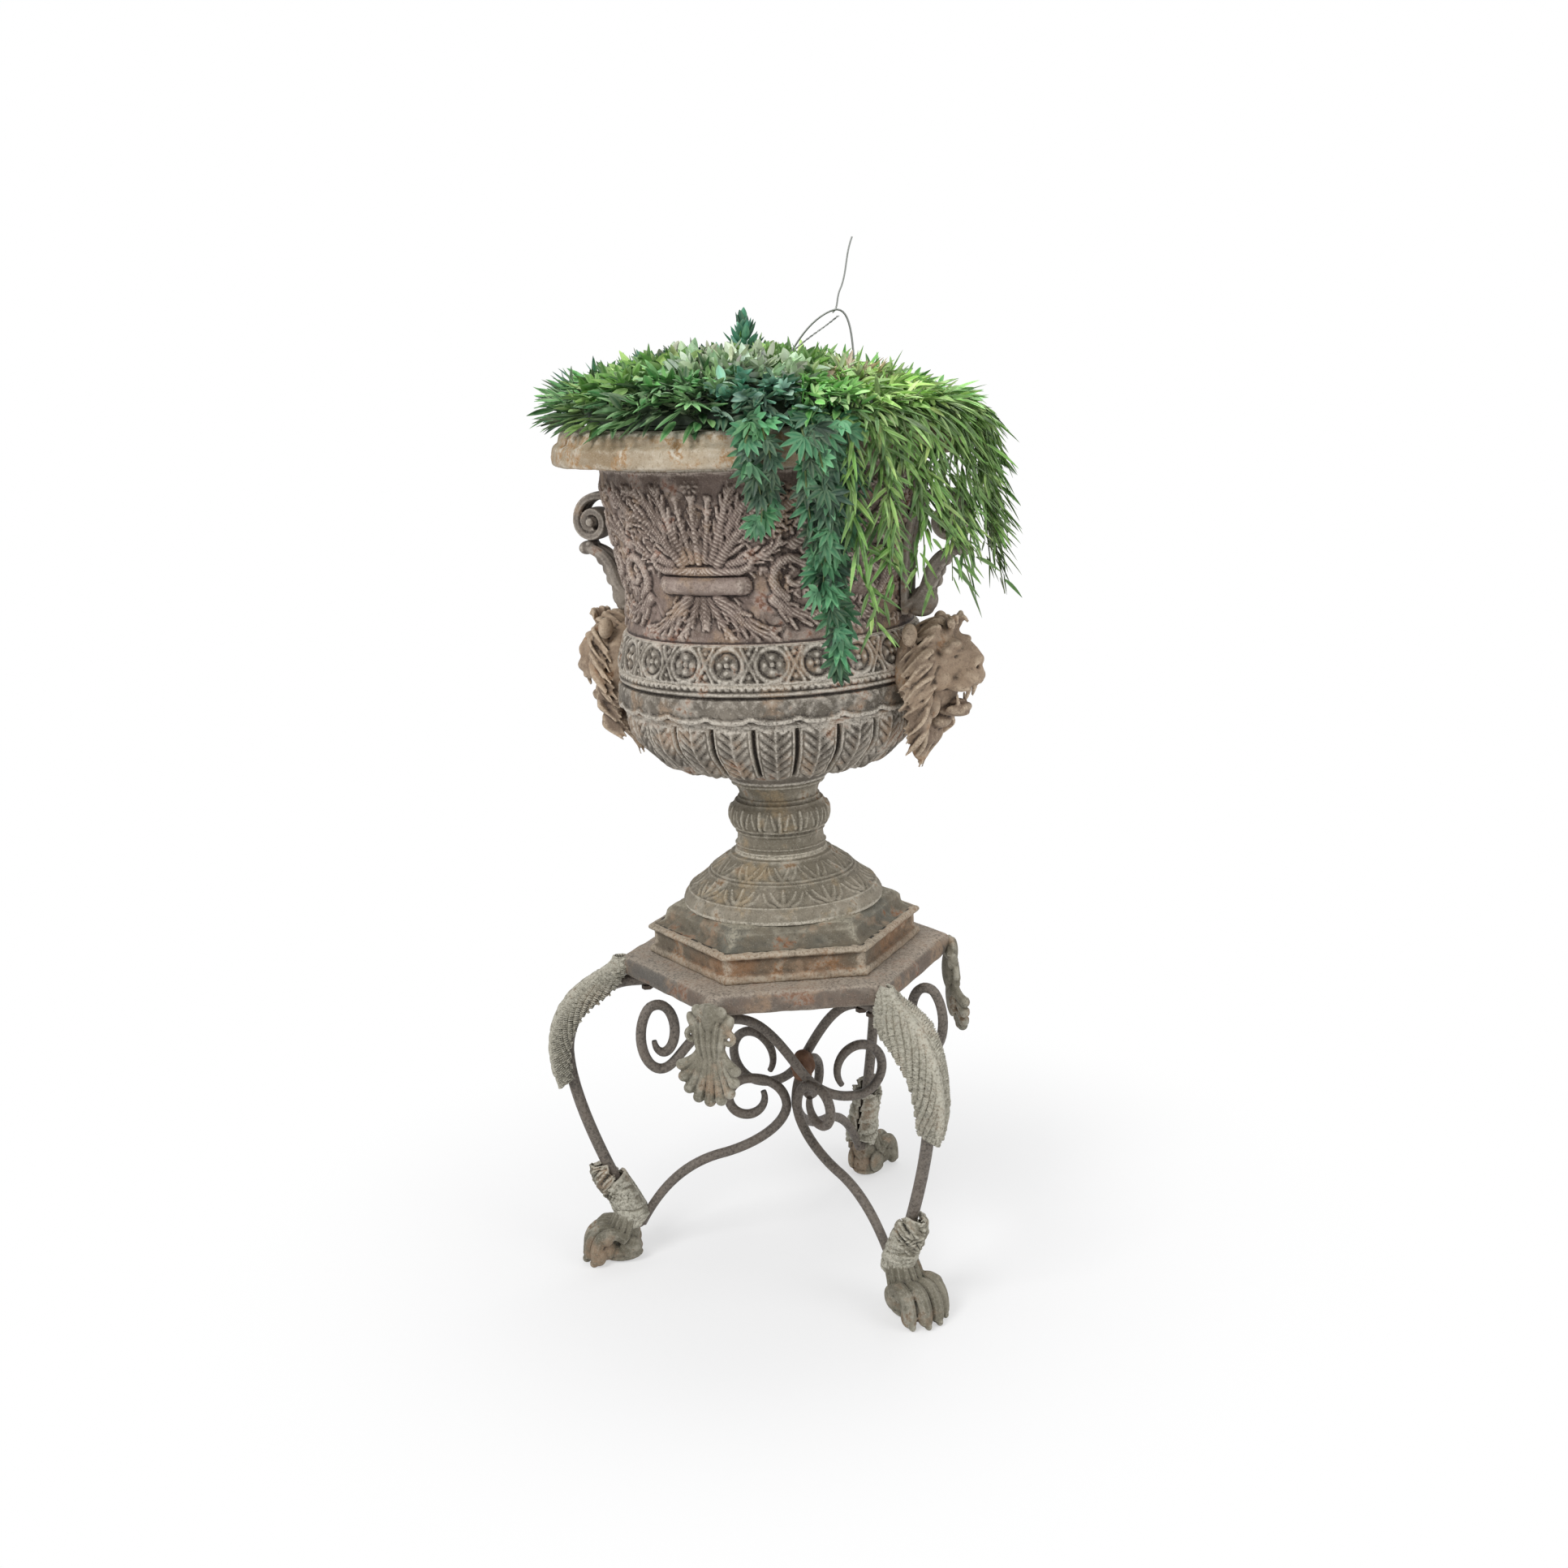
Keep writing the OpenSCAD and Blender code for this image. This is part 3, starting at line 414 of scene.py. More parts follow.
def rosette(u, z, cx, cz, radius, petals, high):
    off = np.hypot(u - cx, z - cz) / radius
    way = np.arctan2(z - cz, u - cx)
    bloom = (0.62 + 0.38 * np.cos(petals * way)) * peak(off, 0.6, 0.42) ** 0.6
    return high * np.maximum(bloom, 1.1 * np.clip(1 - (off / 0.26) ** 2, 0, 1) ** 0.5)


def carve(obj, outline, field):
    """Moves the corners that lie on the outline outwards by the field's height at their place."""
    points = corners(obj)
    r = np.hypot(points[:, 0], points[:, 1]) / MM
    z = points[:, 2] / MM
    line = np.array(outline, float)
    best = np.full(len(points), 1e9)
    for a, b in zip(line[:-1], line[1:]):
        d = b - a
        t = np.clip(((r - a[0]) * d[0] + (z - a[1]) * d[1]) / max(d @ d, 1e-9), 0, 1)
        best = np.minimum(best, np.hypot(r - a[0] - t * d[0], z - a[1] - t * d[1]))
    on = best < 0.5
    azimuth = np.degrees(np.arctan2(points[:, 0], -points[:, 1]))
    high = np.zeros(len(points))
    high[on] = field(azimuth[on], z[on], r[on])
    move_corners(obj, points + outward(obj) * high[:, None] * MM)
    return obj


def wear(azimuth, z, size, high):
    """Low, soft unevenness of a worn casting, the same at both ends of the turn."""
    a = np.radians(azimuth)
    k = 190 / size
    return high * (np.sin(a * round(k) + 1.3 * np.sin(z / size * 2.1))
                   * np.sin(z / size * 1.7 + 2.1 * np.sin(a * round(k * 0.6) + z / size)))


def dense(line, step):
    """Points along a line, no further apart than a step."""
    out = []
    for a, b in zip(line[:-1], line[1:]):
        n = max(int(math.ceil(np.hypot(*(np.array(b) - np.array(a))) / step)), 1)
        out += [np.array(a) + (np.array(b) - np.array(a)) * k / n for k in range(n)]
    return np.array(out + [np.array(line[-1])])


# Finishes

def colour(code):
    """An sRGB hex colour as the linear values that a shader takes."""
    parts = [int(code[k:k + 2], 16) / 255 for k in (1, 3, 5)]
    return tuple(c / 12.92 if c <= 0.04045 else ((c + 0.055) / 1.055) ** 2.4 for c in parts) + (1,)


def node(tree, kind, links=None, **settings):
    """Adds a shader node with its settings, and fills or links its inputs."""
    made = tree.nodes.new("ShaderNode" + kind)
    for key, value in settings.items():
        setattr(made, key, value)
    for socket, source in (links or {}).items():
        if isinstance(source, bpy.types.NodeSocket):
            tree.links.new(source, made.inputs[socket])
        else:
            made.inputs[socket].default_value = source
    return made


def blank(name):
    material = bpy.data.materials.new(name)
    material.use_nodes = True
    tree = material.node_tree
    shader = tree.nodes["Principled BSDF"]
    return material, tree, shader


def patterned(tree, *kinds):
    """Noise on the piece's own coordinates, each kind with its cells in a metre, detail and roughness."""
    place = node(tree, "TexCoord").outputs["Object"]
    return [node(tree, "TexNoise", {"Vector": place, "Scale": scale, "Detail": detail,
                                    "Roughness": rough}).outputs["Fac"]
            for scale, detail, rough in kinds]


def fading(tree, *steps):
    """Patterns that each fade smoothly from one share to another over a range, multiplied together."""
    shares = [node(tree, "MapRange", {"Value": value, "From Min": low, "From Max": high,
                                      "To Min": share_low, "To Max": share_high},
                   interpolation_type="SMOOTHSTEP").outputs["Result"]
              for value, low, high, share_low, share_high in steps]
    for share in shares[1:]:
        shares[0] = node(tree, "Math", {0: shares[0], 1: share}, operation="MULTIPLY").outputs[0]
    return shares[0]


# Sockets of a Mix node that mixes colours
FACTOR, BELOW, ABOVE, RESULT = 0, 6, 7, 2


def coated(tree, coat, *layers):
    """Lays colours over a coat, each as far as its fading patterns let it show."""
    for tone, *steps in layers:
        tone = colour(tone) if isinstance(tone, str) else tone
        share = fading(tree, *steps)
        coat = node(tree, "Mix", {FACTOR: share, BELOW: coat, ABOVE: tone},
                    data_type="RGBA").outputs[RESULT]
    return coat


def weathered_iron(name, paint, second, high, deep, rust, rust_share, chalk=0.25, shine=0.62,
                   warm="#9a8168"):
    """Sand-cast iron under old paint. To the eye it is matte and blotched: chalky, with a painted
    highlight, on what stands proud, dirty and darkened with painted crevice shade in what lies deep, and
    rusty in patches a few centimetres across."""
    material, tree, shader = blank(name)
    relief = node(tree, "Attribute", attribute_name="relief").outputs["Fac"]
    # Blotches of 110, 60 and 40 mm, then chips of 7 and 3 mm. The sand's grain is really under 0.5 mm,
    # and is drawn at 1.6 mm so that it shows.
    broad, stain, patch, fine, flake, grain = patterned(
        tree, (9, 3, 0.55), (17, 5, 0.6), (26, 4, 0.55), (150, 4, 0.65), (310, 3, 0.7), (620, 2, 0.55))
    coat = coated(
        tree, colour(paint),
        (second, (broad, 0.38, 0.62, 0, 1)),
        (high, (patch, 0.5, 0.64, 0, chalk + 0.15)),
        (warm, (stain, 0.52, 0.63, 0, 0.68)),
        (second, (stain, 0.32, 0.44, 0.55, 0)),
        (rust, (patch, 0.62 - rust_share, 0.7 - rust_share, 0, 1), (fine, 0.4, 0.62, 0, 1)),
        (second, (fine, 0.5, 0.62, 0, 0.45)),
        # worn chalky paint, with a painted highlight, on what stands proud
        (high, (relief, 0.05, 1.1, 0, 1), (flake, 0.36, 0.6, 0.3, 0.9)),
        # dirt, with painted crevice shade, in what lies deep
        (deep, (relief, -0.9, 0, 0.93, 0)),
        (deep, (flake, 0.3, 0.42, 0.4, 0)),
        (high, (grain, 0.56, 0.72, 0, 0.3)))
    bump = node(tree, "Bump", {"Height": fine, "Strength": 0.6, "Distance": 0.002}).outputs[0]
    bump = node(tree, "Bump", {"Height": flake, "Strength": 0.5, "Distance": 0.001,
                               "Normal": bump}).outputs[0]
    dull = fading(tree, (fine, 0.2, 0.8, shine, min(shine + 0.3, 1)))
    tree.links.new(coat, shader.inputs["Base Color"])
    tree.links.new(dull, shader.inputs["Roughness"])
    tree.links.new(bump, shader.inputs["Normal"])
    return material


# Colours of each coat: paint, second tone, chalk and worn edges with painted highlight, dirt with painted
# crevice shade, rust
AGED = weathered_iron("Cast iron, aged taupe paint", "#7d7569", "#5c554b", "#cbc3b6", "#2a221b",
                      "#8a5a38", 0.05, 0.36)
ROSE = weathered_iron("Cast iron, rose-brown aged paint", "#84736a", "#625349", "#ccbdb0", "#2a1d18",
                      "#8a5a42", 0.04)
RIM_COAT = weathered_iron("Cast iron, cream paint worn to rust", "#b6a994", "#917e63", "#d9d1c2",
                          "#453a2b", "#a0753f", 0.15, 0.5, warm="#a8967c")
STEM_COAT = weathered_iron("Cast iron, olive-grey aged paint", "#8f8676", "#6f6859", "#cdc6b6", "#2b251c",
                           "#8a6338", 0.04, warm="#a08c6c")
STAND_COAT = weathered_iron("Cast iron, grey-green aged paint", "#5f5d53", "#6c6353", "#a39d8c",
                            "#211d18", "#96603a", 0.06)
PANEL_COAT = weathered_iron("Cast iron, rusted panel with lime crust", "#836143", "#655b4c", "#b3a693",
                            "#2e251d", "#8f6238", 0.12, 0.5)
PLATE_COAT = weathered_iron("Cast iron, brown and rose mottled paint", "#6b5c50", "#5b5751", "#a89c8d",
                            "#2b221c", "#86583a", 0.1)
HANDLE_COAT = weathered_iron("Cast iron, grey-brown aged paint", "#857b6f", "#6c635a", "#b8afa3",
                             "#2e261f", "#83593d", 0.04, 0.3)
LEAFWORK = weathered_iron("Cast iron, grey-cream leafwork", "#857f6f", "#625d4e", "#bfbbac", "#201d16",
                          "#7a5f45", 0.05, 0.3)
BAR = weathered_iron("Forged bar, dark worn paint", "#29241f", "#3a342f", "#776e64", "#161310",
                     "#54402f", 0.05, 0.3, 0.42, "#4a3d33")
RUSTY = weathered_iron("Cast collar, rusted", "#5b4334", "#6a4c39", "#8a6d55", "#241711",
                       "#7d4e30", 0.12, 0.1, 0.7, "#6e4a33")
LION = weathered_iron("Cast iron, warm tan aged paint", "#9b8670", "#7a6858", "#c9b69e", "#33261c",
                      "#9c7450", 0.05)


# Lathe-turned urn: each casting is an outline turned round the axis, then carved

dome_line = bez([[127, 0], [129, 3], [129, 9], [124, 15], [119, 20], [100, 33], [91, 43],
                 [83, 51], [69, 59], [57, 67]], 9)
stem_line = bez([[57, 0], [58, 8], [55, 12], [55, 20], [55, 28], [57, 30], [60, 34],
                 [66, 41], [66, 55], [58, 62], [48, 68], [46, 79], [62, 94]], 9)
bowl_line = bez([[62, 0], [77, 25], [134, 21], [151, 43], [163, 56], [182, 65], [180, 98]], 18)
body_line = bez([[184, 0], [193, 6], [194, 18], [194, 28], [194, 33], [191, 35], [191, 40],
                 [191, 75], [175, 100], [175, 132], [175, 175], [197, 240], [201, 300]], 12)


def band(line, base, low, high, step, wall):
    """The stretch of an outline between two heights, as a closed wall."""
    points = np.array(line) + [0, base]
    z = np.linspace(low, high, max(int((high - low) / step), 2) + 1)
    r = np.interp(z, points[:, 1], points[:, 0])
    face = np.stack([r, z], 1)
    inner = np.stack([np.interp([high, (low + high) / 2, low], points[:, 1], points[:, 0]) - wall,
                      [high, (low + high) / 2, low]], 1)
    return face, np.concatenate([face, inner])


PANEL_R = 187
BEAD_R = 191
TORUS_R = 193
PALMETTE_Z = 920
GROUND_CURLS = 130
PALMETTE_LEAVES = [
    # path, width, height, lobes and their length, from the panel's middle outwards
    ([[0, 952], [0, 985], [0, 1024]], 6, 5.5, 5, 12),
    ([[8, 950], [15, 985], [20, 1024]], 5, 5, 5, 10),
    ([[17, 950], [30, 984], [40, 1018], [46, 1034]], 6.5, 6, 6, 15),
    ([[24, 947], [42, 972], [60, 992], [82, 1002], [98, 996]], 8, 7.5, 7, 24),
    ([[36, 944], [60, 951], [82, 956], [98, 970]], 6, 6, 5, 16),
    ([[40, 985], [56, 1012], [78, 1028], [98, 1030]], 6.5, 5.5, 6, 16),
    ([[20, 906], [34, 890], [50, 876], [70, 864], [86, 862]], 9, 8, 6, 19),
    ([[8, 904], [16, 886], [28, 866], [36, 857]], 6, 5, 4, 11),
    ([[0, 904], [0, 888], [0, 870]], 7, 5, 4, 11),
    ([[88, 902], [108, 886], [134, 880], [158, 890]], 7.5, 7, 6, 20),
    ([[112, 966], [130, 980], [150, 984], [170, 974]], 7, 6.5, 6, 19),
    ([[100, 1006], [120, 1022], [142, 1030], [162, 1022]], 6.5, 5.5, 5, 16),
    ([[172, 884], [194, 872], [214, 880], [226, 898]], 7, 6, 6, 18),
    ([[186, 962], [204, 982], [228, 994], [248, 990]], 7, 6.5, 6, 18),
    ([[176, 1010], [196, 1026], [216, 1032], [238, 1026]], 6, 5, 5, 14),
    ([[236, 902], [254, 922], [262, 955], [258, 985]], 6.5, 6, 6, 18),
]


def panel_place(azimuth):
    """Millimetres sideways from the middle of the nearer palmette panel."""
    return np.radians(repeated(azimuth - PANEL_TURN, 180)) * PANEL_R


def leafy(u, z, size, high):
    """Small curled ridges all over a ground, like worn leaf tips about a size apart."""
    a = u / size + 1.6 * np.sin(z / size * 0.9 + 1.3 * np.sin(u / size * 0.7))
    b = z / size + 1.6 * np.sin(u / size * 0.8 + 1.7 * np.sin(z / size * 0.6))
    return high * np.abs(np.sin(a) * np.cos(b)) ** 0.6 * (0.6 + 0.4 * np.sin(a * 0.37 + b * 0.53))


def palmette(azimuth, z, r):
    side = panel_place(azimuth)
    u = np.abs(side)
    fields = [plume(u, z, *leaf) for leaf in PALMETTE_LEAVES]
    fields += [
        rosette(u, z, 0, 1036, 12, 8, 5),
        dot(u, z, 0, 948, 5, 6), dot(u, z, 10, 949, 4.5, 5.5), dot(u, z, 19, 948, 4, 5),
        # the bolster and its collar, then the volutes
        stroke(u, z, [[0, PALMETTE_Z], [47, PALMETTE_Z]], 11.5, 10.5, 13),
        stroke(u, z, [[48, PALMETTE_Z], [52, PALMETTE_Z]], 12, 11, 9),
        stroke(u, z, [[0, 937], [50, 938], [61, 943], [65, 951], [59, 956]], 6, 4, 8),
        curl(u, z, 112, 930, 28, 7, 250, -160, 6.5, 7),
        curl(u, z, 168, 936, 27, 7, -100, 330, 6.5, 6.5),
        curl(u, z, 228, 944, 24, 6, 80, -320, 6, 6),
    ]
    for k in range(GROUND_CURLS):
        x = 40 + 254 * ((k * 0.618) % 1)
        y = 858 + 180 * ((k * 0.377 + 0.2) % 1)
        a = math.radians(40 + 97 * k)
        fields.append(stroke(u, z, [[x, y], [x + 7 * math.cos(a), y + 7 * math.sin(a)],
                                    [x + 9 * math.cos(a + 0.9), y + 11 * math.sin(a + 0.9)]], 3, 1.4, 3.4))
    carved = np.maximum(over(*fields), leafy(side, z, 7.5, 3) - 0.8)
    veins = 1.7 * np.abs(np.sin(0.6 * z + 0.55 * u + 2 * np.sin(u * 0.13))) ** 2
    veins = np.where((u < 56) & (np.abs(z - PALMETTE_Z) < 14), 0, veins * rising(carved, 1, 5))
    edge = rising(z, 853, 5) * rising(1044 - z, 0, 12)
    return (carved - veins) * edge + wear(azimuth, z, 9, 0.35)


def guilloche(azimuth, z, r):
    pitch = 360 / TONGUES
    u = repeated(azimuth, pitch) * math.radians(PANEL_R)
    side = np.abs(u)
    ring = 4 * roll(np.hypot(u, (z - 827) * 1.05), 19.5, 3.4)
    flower = rosette(u, z, 0, 827, 14, 4, 4.6)
    cross = over(stroke(side, z, [[26.6, 827], [17, 845]], 3.2, 2.6, 4.2),
                 stroke(side, z, [[26.6, 827], [17, 809]], 3.2, 2.6, 4.2),
                 dot(side, z, 26.6, 840, 3.6, 3.4), dot(side, z, 26.6, 814, 3.6, 3.4))
    lines = over(2.2 * peak(z, 806, 2.6), 3 * peak(z, 849.5, 3.2))
    crust = leafy(azimuth * 3.26, z, 4.6, 2)
    return np.maximum(np.maximum(over(ring, flower, cross), lines), crust) + 0.3 * crust \
        + wear(azimuth, z, 8, 0.4)


def beads_and_torus(azimuth, z, r):
    pitch = 360 / (TONGUES * 6)
    bead = dot(repeated(azimuth, pitch) * math.radians(BEAD_R), z, 0, 800.5, 4.2, 2.6)
    moulding = 2.6 * roll(z, 793.5, 2.6)
    gap = -3.4 * peak(z, 788.5, 2.4)
    t = repeated(azimuth, 360 / TONGUES) * math.radians(TORUS_R)
    leaf = over(stroke(np.abs(t), z, [[0, 786], [9, 779], [16, 769]], 5, 3, 0.9),
                stroke(np.abs(t), z, [[20, 786], [25, 778]], 4, 2, 0.8))
    crust = leafy(azimuth * 3.37, z, 6.5, 0.9)
    scallop = 762 - 4.5 * roll(t, 0, 24)
    lip = 3.4 * roll(z, scallop + 3, 3.4)
    fringe = leafy(azimuth * 3.37, z, 3.6, 2.2) * peak(z, 757, 9)
    under = np.where(z < scallop, -2.8, 0)
    return over(bead, moulding, gap, leaf + crust, lip) + under + fringe + wear(azimuth, z, 11, 0.5)


def gadroon(azimuth, z, r):
    pitch = 360 / TONGUES
    half = math.radians(pitch / 2) * r
    u = math.radians(1) * repeated(azimuth, pitch) * r
    side = np.abs(u) / np.maximum(half, 1)
    swell = 4.6 * np.sqrt(np.clip(1 - (side / 0.93) ** 4, 0, 1)) - 3.8 * rising(side, 0.88, 0.08)
    rib = 1.6 * peak(u, 0, 3.4)
    kind = np.round(azimuth / pitch)
    lobes = np.abs(np.sin((z - 0.8 * np.abs(u) + 3 * np.sin(kind * 2.3)) * math.pi / 10.5))
    inside = rising(0.74 - side, 0, 0.06) * np.clip(np.abs(u) / 3, 0.3, 1)
    veins = (2.6 * lobes ** 0.55 - 1.9) * inside
    border = 1.2 * peak(side, 0.82, 0.08) - 1.6 * peak(side, 0.73, 0.05)
    crust = leafy(azimuth * 3 * r / 172, z, 4.2, 0.8)
    fringe = leafy(azimuth * 3.1, z, 3.6, 1.6) * peak(z, 748, 6)
    leaf = rising(754 - z, 0, 4) * (rib + veins + border + crust + fringe)
    return rising(r, 118, 16) * (swell * rising(757 - z, 0, 5) + leaf) + wear(azimuth, z, 8, 0.3)


def rim_wear(azimuth, z, r):
    crust = leafy(azimuth * 4.4, z, 7, 1.0) * np.sin(azimuth * 0.21 + z * 0.1) ** 2
    return wear(azimuth, z, 17, 0.7) + wear(azimuth + 40, z, 6, 0.35) + crust


def dome_relief(azimuth, z, r):
    u = np.abs(repeated(azimuth, 30))
    h = z - DOME
    leaf = over(stroke(u, h, [[0, 21], [0, 36]], 1.8, 1.2, 1.7),
                stroke(u, h, [[2, 22], [6, 27], [9, 34]], 1.7, 1.1, 1.5),
                stroke(u, h, [[6, 21], [11, 25], [14, 33]], 1.6, 1.0, 1.4),
                dot(u, h, 14, 38, 2, 1.3),
                stroke(u, h, [[0, 45], [3, 50], [7, 57]], 2, 1.2, 1.5),
                stroke(u, h, [[7, 45], [11, 51], [14, 58]], 2, 1.2, 1.4))
    rings = over(*[2.2 * peak(h, at, 2) for at in (18.5, 40, 43.5, 62)])
    return np.maximum(leaf, rings) + wear(azimuth, z, 9, 0.35)


def stem_relief(azimuth, z, r):
    u = np.abs(repeated(azimuth, 24))
    h = z - STEM
    leaf = over(stroke(u, h, [[0, 36], [0, 58]], 3, 2, 2), stroke(u, h, [[6, 38], [10, 56]], 2.5, 1.5, 1.5))
    rings = over(*[2.0 * peak(h, at, 1.8) for at in (3, 9, 26, 33, 64, 70, 90)])
    return np.maximum(leaf, rings) + wear(azimuth, z, 8, 0.3)


FINE = 1.45
BAND_STEPS = 640
BODY_WALL = 7
TORUS_TOP = 803.5
GUILLOCHE_TOP = 850


def body_band(name, low, high, field, finish, *nodes):
    face, outline = band(body_line, BODY, low, high, FINE, BODY_WALL)
    obj = spun(name, outline, BAND_STEPS)
    carve(obj, face[1:-1], field)
    mark_relief(obj, depth=0.001)
    dress(obj, finish, "urn", "aged_iron", *nodes)


body_band("body_palmette_band", GUILLOCHE_TOP, RIM, palmette, ROSE, "urn_body")
body_band("body_guilloche_band", TORUS_TOP, GUILLOCHE_TOP, guilloche, AGED)
body_band("body_beaded_torus", BODY, TORUS_TOP, beads_and_torus, AGED)

bowl_face = dense([p for p in bowl_line + [0, BOWL] if p[1] < BODY] + [np.array([180, BODY])], FINE)
bowl_in = [[172, BODY], [160, 716], [132, 693], [90, 676], [20, 668], [20, BOWL]]
gadroons = spun("bowl_gadroons", np.concatenate([bowl_face, bowl_in]), 528)
carve(gadroons, bowl_face, gadroon)
mark_relief(gadroons, depth=0.001)
dress(gadroons, AGED, "urn", "aged_iron", "bowl")

stem_face = dense(stem_line + [0, STEM], 1.6)
stem = spun("stem_knop", np.concatenate([stem_face, [[30, BOWL], [30, STEM]]]), 240)
carve(stem, stem_face, stem_relief)
mark_relief(stem)
dress(stem, STEM_COAT, "urn", "aged_iron", "stem")

dome_face = dense(dome_line + [0, DOME], 1.6)
dome_in = [[20, STEM], [20, STEM - 8], [60, STEM - 12], [110, DOME + 12], [118, DOME]]
dome = spun("foot_dome", np.concatenate([dome_face, dome_in]), 360)
carve(dome, dome_face, dome_relief)
mark_relief(dome)
dress(dome, STEM_COAT, "urn", "aged_iron", "dome_foot")

rim_face = dense(bez([[245, 8], [252, 5], [257, 6], [257, 12], [257, 18], [256.5, 22], [256, 26],
                      [255, 30], [250, 31], [249, 34], [248, 38], [247, 44], [240, 47]], 10)
                 + [0, RIM], 2)
rim_rest = np.array([[190, 47], [188, 40], [188, 10], [192, 0], [192, -12], [200, -2], [203, 30],
                     [226, 34], [238, 26]]) + [0, RIM]
rim = spun("rolled_rim", np.concatenate([rim_face, rim_rest]), 360)
carve(rim, rim_face, rim_wear)
mark_relief(rim, (3, 12), 0.0012)
dress(rim, RIM_COAT, "urn", "aged_iron", "rim")


# Hexagonal plinth and stand plate

def six_sided(obj):
    """Draws a turned piece out to a hexagon, with its corners over the legs and the shells."""
    obj.data.transform(Matrix.Rotation(math.radians((STAND_TURN - 90) % 60), 4, "Z"))
    points = corners(obj)
    azimuth = np.degrees(np.arctan2(points[:, 0], -points[:, 1])) - STAND_TURN
    off = np.abs(repeated(azimuth, 60))
    share = math.cos(math.radians(30)) / np.cos(np.radians(30 - off))
    points[:, :2] *= share[:, None]
    move_corners(obj, points)
    return obj


def rough_cast(obj, size, high):
    """Gives a piece the uneven skin of a worn casting."""
    points = corners(obj) / MM
    lift = (np.sin(points[:, 0] / size + 1.7 * np.sin(points[:, 2] / size * 1.3))
            * np.sin(points[:, 1] / size + 1.9 * np.sin(points[:, 0] / size * 0.7))
            * np.cos(points[:, 2] / size * 1.9 + points[:, 0] / size))
    move_corners(obj, (points + outward(obj) * (lift * high)[:, None]) * MM)
    return obj


HEX_STEPS = 252


def hexagonal(name, base, outline, inside, step, lump_size, high, depth):
    """A six-sided casting, from the outlines of its outer face and of its hollow over a base height."""
    face = dense(bez(np.array(outline) + [0, base], 8), step)
    obj = six_sided(spun(name, np.concatenate([face, np.array(inside) + [0, base]]), HEX_STEPS))
    rough_cast(obj, lump_size, high)
    return mark_relief(obj, (4, 16), depth)


lower_step = hexagonal(
    "plinth_lower_step", PLATE_TOP,
    [[172, 0], [178, 0], [179, 9], [173, 11], [168.5, 12], [169.5, 16], [169.5, 20], [169.5, 28],
     [168, 30], [174, 31], [179, 33], [178, 38], [172, 39]],
    [[120, 39], [120, 32], [160, 28], [162, 0]], 2.2, 7, 0.6, 0.0011)
dress(lower_step, PANEL_COAT, "urn", "aged_iron", "plinth")
upper_step = hexagonal(
    "plinth_upper_step", PLINTH_STEP,
    [[170, 0], [165, 0], [160, 1], [157, 4], [154, 7], [153, 12], [152, 17], [149, 21], [145, 23],
     [138, 25]],
    [[40, 25], [40, 18], [120, 16], [122, 0]], 2.2, 7, 0.6, 0.0011)
dress(upper_step, STAND_COAT, "urn", "aged_iron", "plinth")
plate = hexagonal(
    "stand_plate", PLATE_LOW,
    [[207, 1], [214, 1], [217, 4], [217, 11], [217, 19], [215, 26], [205, 28]],
    [[15, 28], [15, 19], [194, 19], [202, 12], [203, 1]], 2.5, 11, 0.7, 0.0014)
dress(plate, PLATE_COAT, "stand", "aged_iron", "stand_top_plate")


# Forged bars

leg_line = bez([[150, 392], [168, 392], [186, 392], [204, 392], [245, 392], [290, 356], [292, 300],
                [293, 236], [251, 128], [212, 45]], 18)
lower_line = np.concatenate([bez([[211, 47], [183, 98], [147, 131], [94, 140], [50, 150], [13, 173],
                                  [8.8, 200], [8.8, 225], [28, 243], [60, 243]], 16),
                             spiral(60, 216, 27, 22, 90, -200, 30)[1:]])


def upright(path, side=0):
    """A drawing of outward and upward places, stood up at a sideways place."""
    path = np.array(path, float)
    return np.stack([path[:, 0], np.full(len(path), float(side)), path[:, 1]], 1)


def outer_curl(a):
    f = 1 - 0.62 * max(-a - 240, 0) ** 0.8 / 280 ** 0.8
    return [-190.8 + f * 27 * math.cos(math.radians(a)), 348.5 + f * 45 * math.sin(math.radians(a))]


s_line = np.concatenate([np.array([outer_curl(-520 + 430 * k / 48) for k in range(48)]),
                         bez([[-190.8, 303.5], [-168.8, 303.5], [-152, 349], [-105, 351], [-62, 351],
                              [-40, 323], [-2, 262], [20, 227], [48, 208], [84, 208]], 18),
                         spiral(84, 245, 37, 31, -90, 215, 34)[1:]])


def ends_taper(count, thick, first, last, reach=10):
    """Radii of a bar whose ends are drawn out thinner."""
    radii = np.full(count, thick / 2.0)
    for k in range(reach):
        radii[k] *= first + (1 - first) * k / reach
        radii[-1 - k] *= last + (1 - last) * k / reach
    return radii


def forged_bars(name, path, radii, places, node_name):
    bar = rod(name, path, radii, 16)
    mark_relief(bar, (3, 9), 0.002)
    dress_copies(bar, name, places, BAR, "stand", "bar_iron", node_name)


forged_bars("leg_rod_", upright(leg_line), LEG_BAR / 2 - 0.2, LEGS, "leg_bar_")
forged_bars("curled_scroll_", upright(lower_line), ends_taper(len(lower_line), SCROLL_BAR, 0.9, 0.6),
            LEGS, "lower_scroll_")
forged_bars("s_curve_", upright(s_line, -SCROLL_SIDE), ends_taper(len(s_line), SCROLL_BAR, 0.5, 0.6),
            {"left": SCROLL_HEADING, "right": SCROLL_HEADING + 120}, "s_scroll_")


# Cast collar where the scrolls cross

collar_parts = lumps(((0, 0, 0), (20, 13, 15)), ((0, 0, 0), (8, 17, 17)), ((14, 0, 3), (9, 14, 12)),
                     ((-15, 0, -4), (9, 13, 12)), ((0, 0, 13), (13, 11, 8)), ((2, 0, -14), (11, 12, 8)))
collar = melted("rusty_collar", collar_parts, 1.6, 3)
collar.data.transform(Matrix.Translation((0, -SCROLL_SIDE * 0.5 * MM, CROSSING * MM)))
turned(collar, SCROLL_HEADING + 60)
mark_relief(collar)
dress(collar, RUSTY, "stand", "rusty_iron", "centre_boss")


